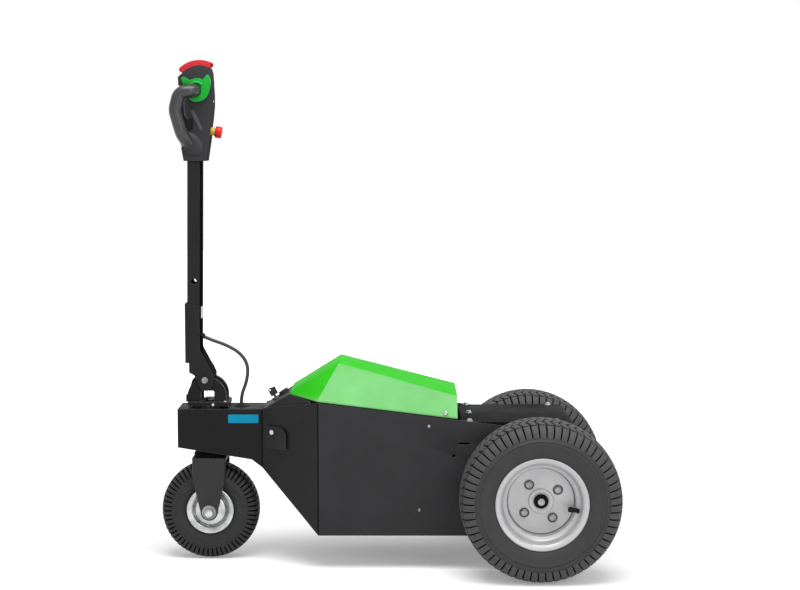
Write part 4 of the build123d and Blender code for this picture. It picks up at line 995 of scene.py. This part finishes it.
# The two loop grips are thick rubber moulded over steel hoops, one on each side of the head. Each grows
# out of the housing's foot in a rounded root of the same black plastic.
grip_rubber = coated(
    "grip_rubber", rubber,
    {"Colour": (0.022, 0.022, 0.024), "Dust And Edge Highlight Colour": (0.07, 0.07, 0.07), "Dust": 0.08, "Roughness": 0.36},
    shine=0.55, depth=0.0001)
repaint(grip_rubber, "grip_left", "grip_right")
GRIP_ROOT_SIZE = (0.0250, 0.0120, 0.0370)
GRIP_ROOT_PLACE = (-0.4945, 0.0360, 1.0740)
GRIP_ROOT_SLANT = -38
roots = []
for side in (1, -1):
    root = bmesh.new()
    bmesh.ops.create_icosphere(root, subdivisions=4, radius=1.0)
    bmesh.ops.scale(root, verts=root.verts, vec=GRIP_ROOT_SIZE)
    turned(root, GRIP_ROOT_SLANT, "Y")
    x, y, z = GRIP_ROOT_PLACE
    bmesh.ops.translate(root, verts=root.verts, vec=(x, side * y, z))
    roots.append(root)
fit("grip_roots", joined(*roots), "tiller", head_plastic)

# The belly switch is a curved red cap along the top of the head, moulded in one piece. It is pushed on
# over its switch and reverses the machine when it is pressed against a body.
belly_red = coated(
    "belly_red", powder,
    {"Colour": (0.56, 0.016, 0.024), "Scuff And Highlight Colour": (0.85, 0.3, 0.3), "Grain": 600.0, "Roughness": 0.38,
     "Scuff And Highlight": 0.25}, shine=0.35, depth=0.00003)
# Painted shade: the cap's back end, turned to +X, is painted a slightly darker red with no shine.
painted_light_by_facing(belly_red, "X", low=0.3, high=0.8, colour=(0.52, 0.014, 0.022), shine=0.0)
ease("belly_cap", "tiller", belly_red, radius=0.0045, steps=5, ending="_moulded")

# A green rocking throttle sits on each side of the head, moulded in glossy plastic. It turns on a hub that
# stands inside a raised round collar.
throttle_green = coated(
    "throttle_green", powder,
    {"Colour": (0.004, 0.36, 0.030), "Scuff And Highlight Colour": (0.2, 0.7, 0.2), "Grain": 600.0, "Roughness": 0.27,
     "Scuff And Highlight": 0.25}, shine=0.22, depth=0.00003)
for side in ("left", "right"):
    fit("throttle_moulded_" + side, eased_copy("throttle_" + side, radius=0.0022, steps=3), "tiller",
        throttle_green, ("throttle_" + side,))


def arc_rib(centre, reach, thick, start, sweep, steps=20):
    """A round rib bent about an axle along Y, from one angle on through a sweep, both in degrees."""
    shape = bmesh.new()
    bmesh.ops.create_circle(shape, cap_ends=True, radius=thick, segments=12)
    turned(shape, 90, "Y")
    bmesh.ops.translate(shape, verts=shape.verts, vec=(0, 0, reach))
    turned(shape, start, "Y")
    disc = shape.verts[:] + shape.edges[:] + shape.faces[:]
    bmesh.ops.spin(shape, geom=disc, cent=(0, 0, 0), axis=(0, 1, 0), angle=math.radians(sweep), steps=steps)
    bmesh.ops.recalc_face_normals(shape, faces=shape.faces)
    bmesh.ops.translate(shape, verts=shape.verts, vec=centre)
    return shape


COLLAR_X = -0.4795
COLLAR_Y = 0.0490
COLLAR_Z = 1.2120
collars = [
    arc_rib((COLLAR_X, side * COLLAR_Y, COLLAR_Z), reach=0.0178, thick=0.0042, start=-50, sweep=100)
    for side in (1, -1)
]
fit("throttle_collars", joined(*collars), "tiller", throttle_green, corner=60)

# The emergency stop is a round red button on a yellow base, both moulded. The base is screwed to the back
# of the head, where a hand can strike the button.
stop_red = coated(
    "stop_red", powder,
    {"Colour": (0.70, 0.008, 0.010), "Scuff And Highlight Colour": (0.85, 0.3, 0.3), "Grain": 600.0, "Roughness": 0.3,
     "Scuff And Highlight": 0.2}, shine=0.3, depth=0.00003)
stop_yellow = coated(
    "stop_yellow", powder,
    {"Colour": (0.78, 0.50, 0.04), "Scuff And Highlight Colour": (0.9, 0.7, 0.3), "Grain": 600.0, "Roughness": 0.4,
     "Scuff And Highlight": 0.2}, shine=0.5, depth=0.00003)
repaint(stop_yellow, "stop_base")
ease("stop_button", "tiller", stop_red, radius=0.003, steps=3, ending="_moulded")

# The steering cable is a soft black lead, 9 mm thick. It leaves the gland on the back of the mast and bows
# down into the rubber grommet on the neck.
CABLE_POINTS = [
    (-0.47064, 0.0, 0.57650), (-0.45237, 0.0, 0.56837), (-0.417, 0.0, 0.5565),
    (-0.380, 0.0, 0.536), (-0.358, 0.0, 0.504), (-0.3615, 0.0, 0.461),
    (-0.3765, 0.0, 0.425), (-0.3765, 0.0, 0.402),
]
CABLE_RADIUS = 0.0045
cable_rubber = coated(
    "cable_rubber", rubber,
    {"Colour": (0.020, 0.020, 0.022), "Dust And Edge Highlight Colour": (0.06, 0.06, 0.06), "Dust": 0.15, "Roughness": 0.42},
    shine=0.5, depth=0.00005)
cable_line = bpy.data.curves.new("steering_cable_line", "CURVE")
cable_line.dimensions = "3D"
cable_spline = cable_line.splines.new("NURBS")
cable_spline.points.add(len(CABLE_POINTS) - 1)
for point, place in zip(cable_spline.points, CABLE_POINTS):
    point.co = (*place, 1.0)
cable_spline.order_u = 3
cable_spline.use_endpoint_u = True
cable_spline.resolution_u = 16
cable_guide = bpy.data.objects.new("steering_cable_guide", cable_line)
route = bpy.data.meshes.new_from_object(cable_guide)
cable_line.bevel_depth = CABLE_RADIUS
cable_line.bevel_resolution = 5
cable_line.use_fill_caps = True
cable_mesh = bpy.data.meshes.new_from_object(cable_guide)
bpy.data.objects.remove(cable_guide)
bpy.data.curves.remove(cable_line)
cable_mesh.materials.clear()
cable_mesh.materials.append(cable_rubber)
cable_mesh.shade_smooth()
cable = bpy.data.objects.new("steering_cable_lead", cable_mesh)
bpy.context.scene.collection.objects.link(cable)
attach(cable, "chassis")
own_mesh(cable)
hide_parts("steering_cable")
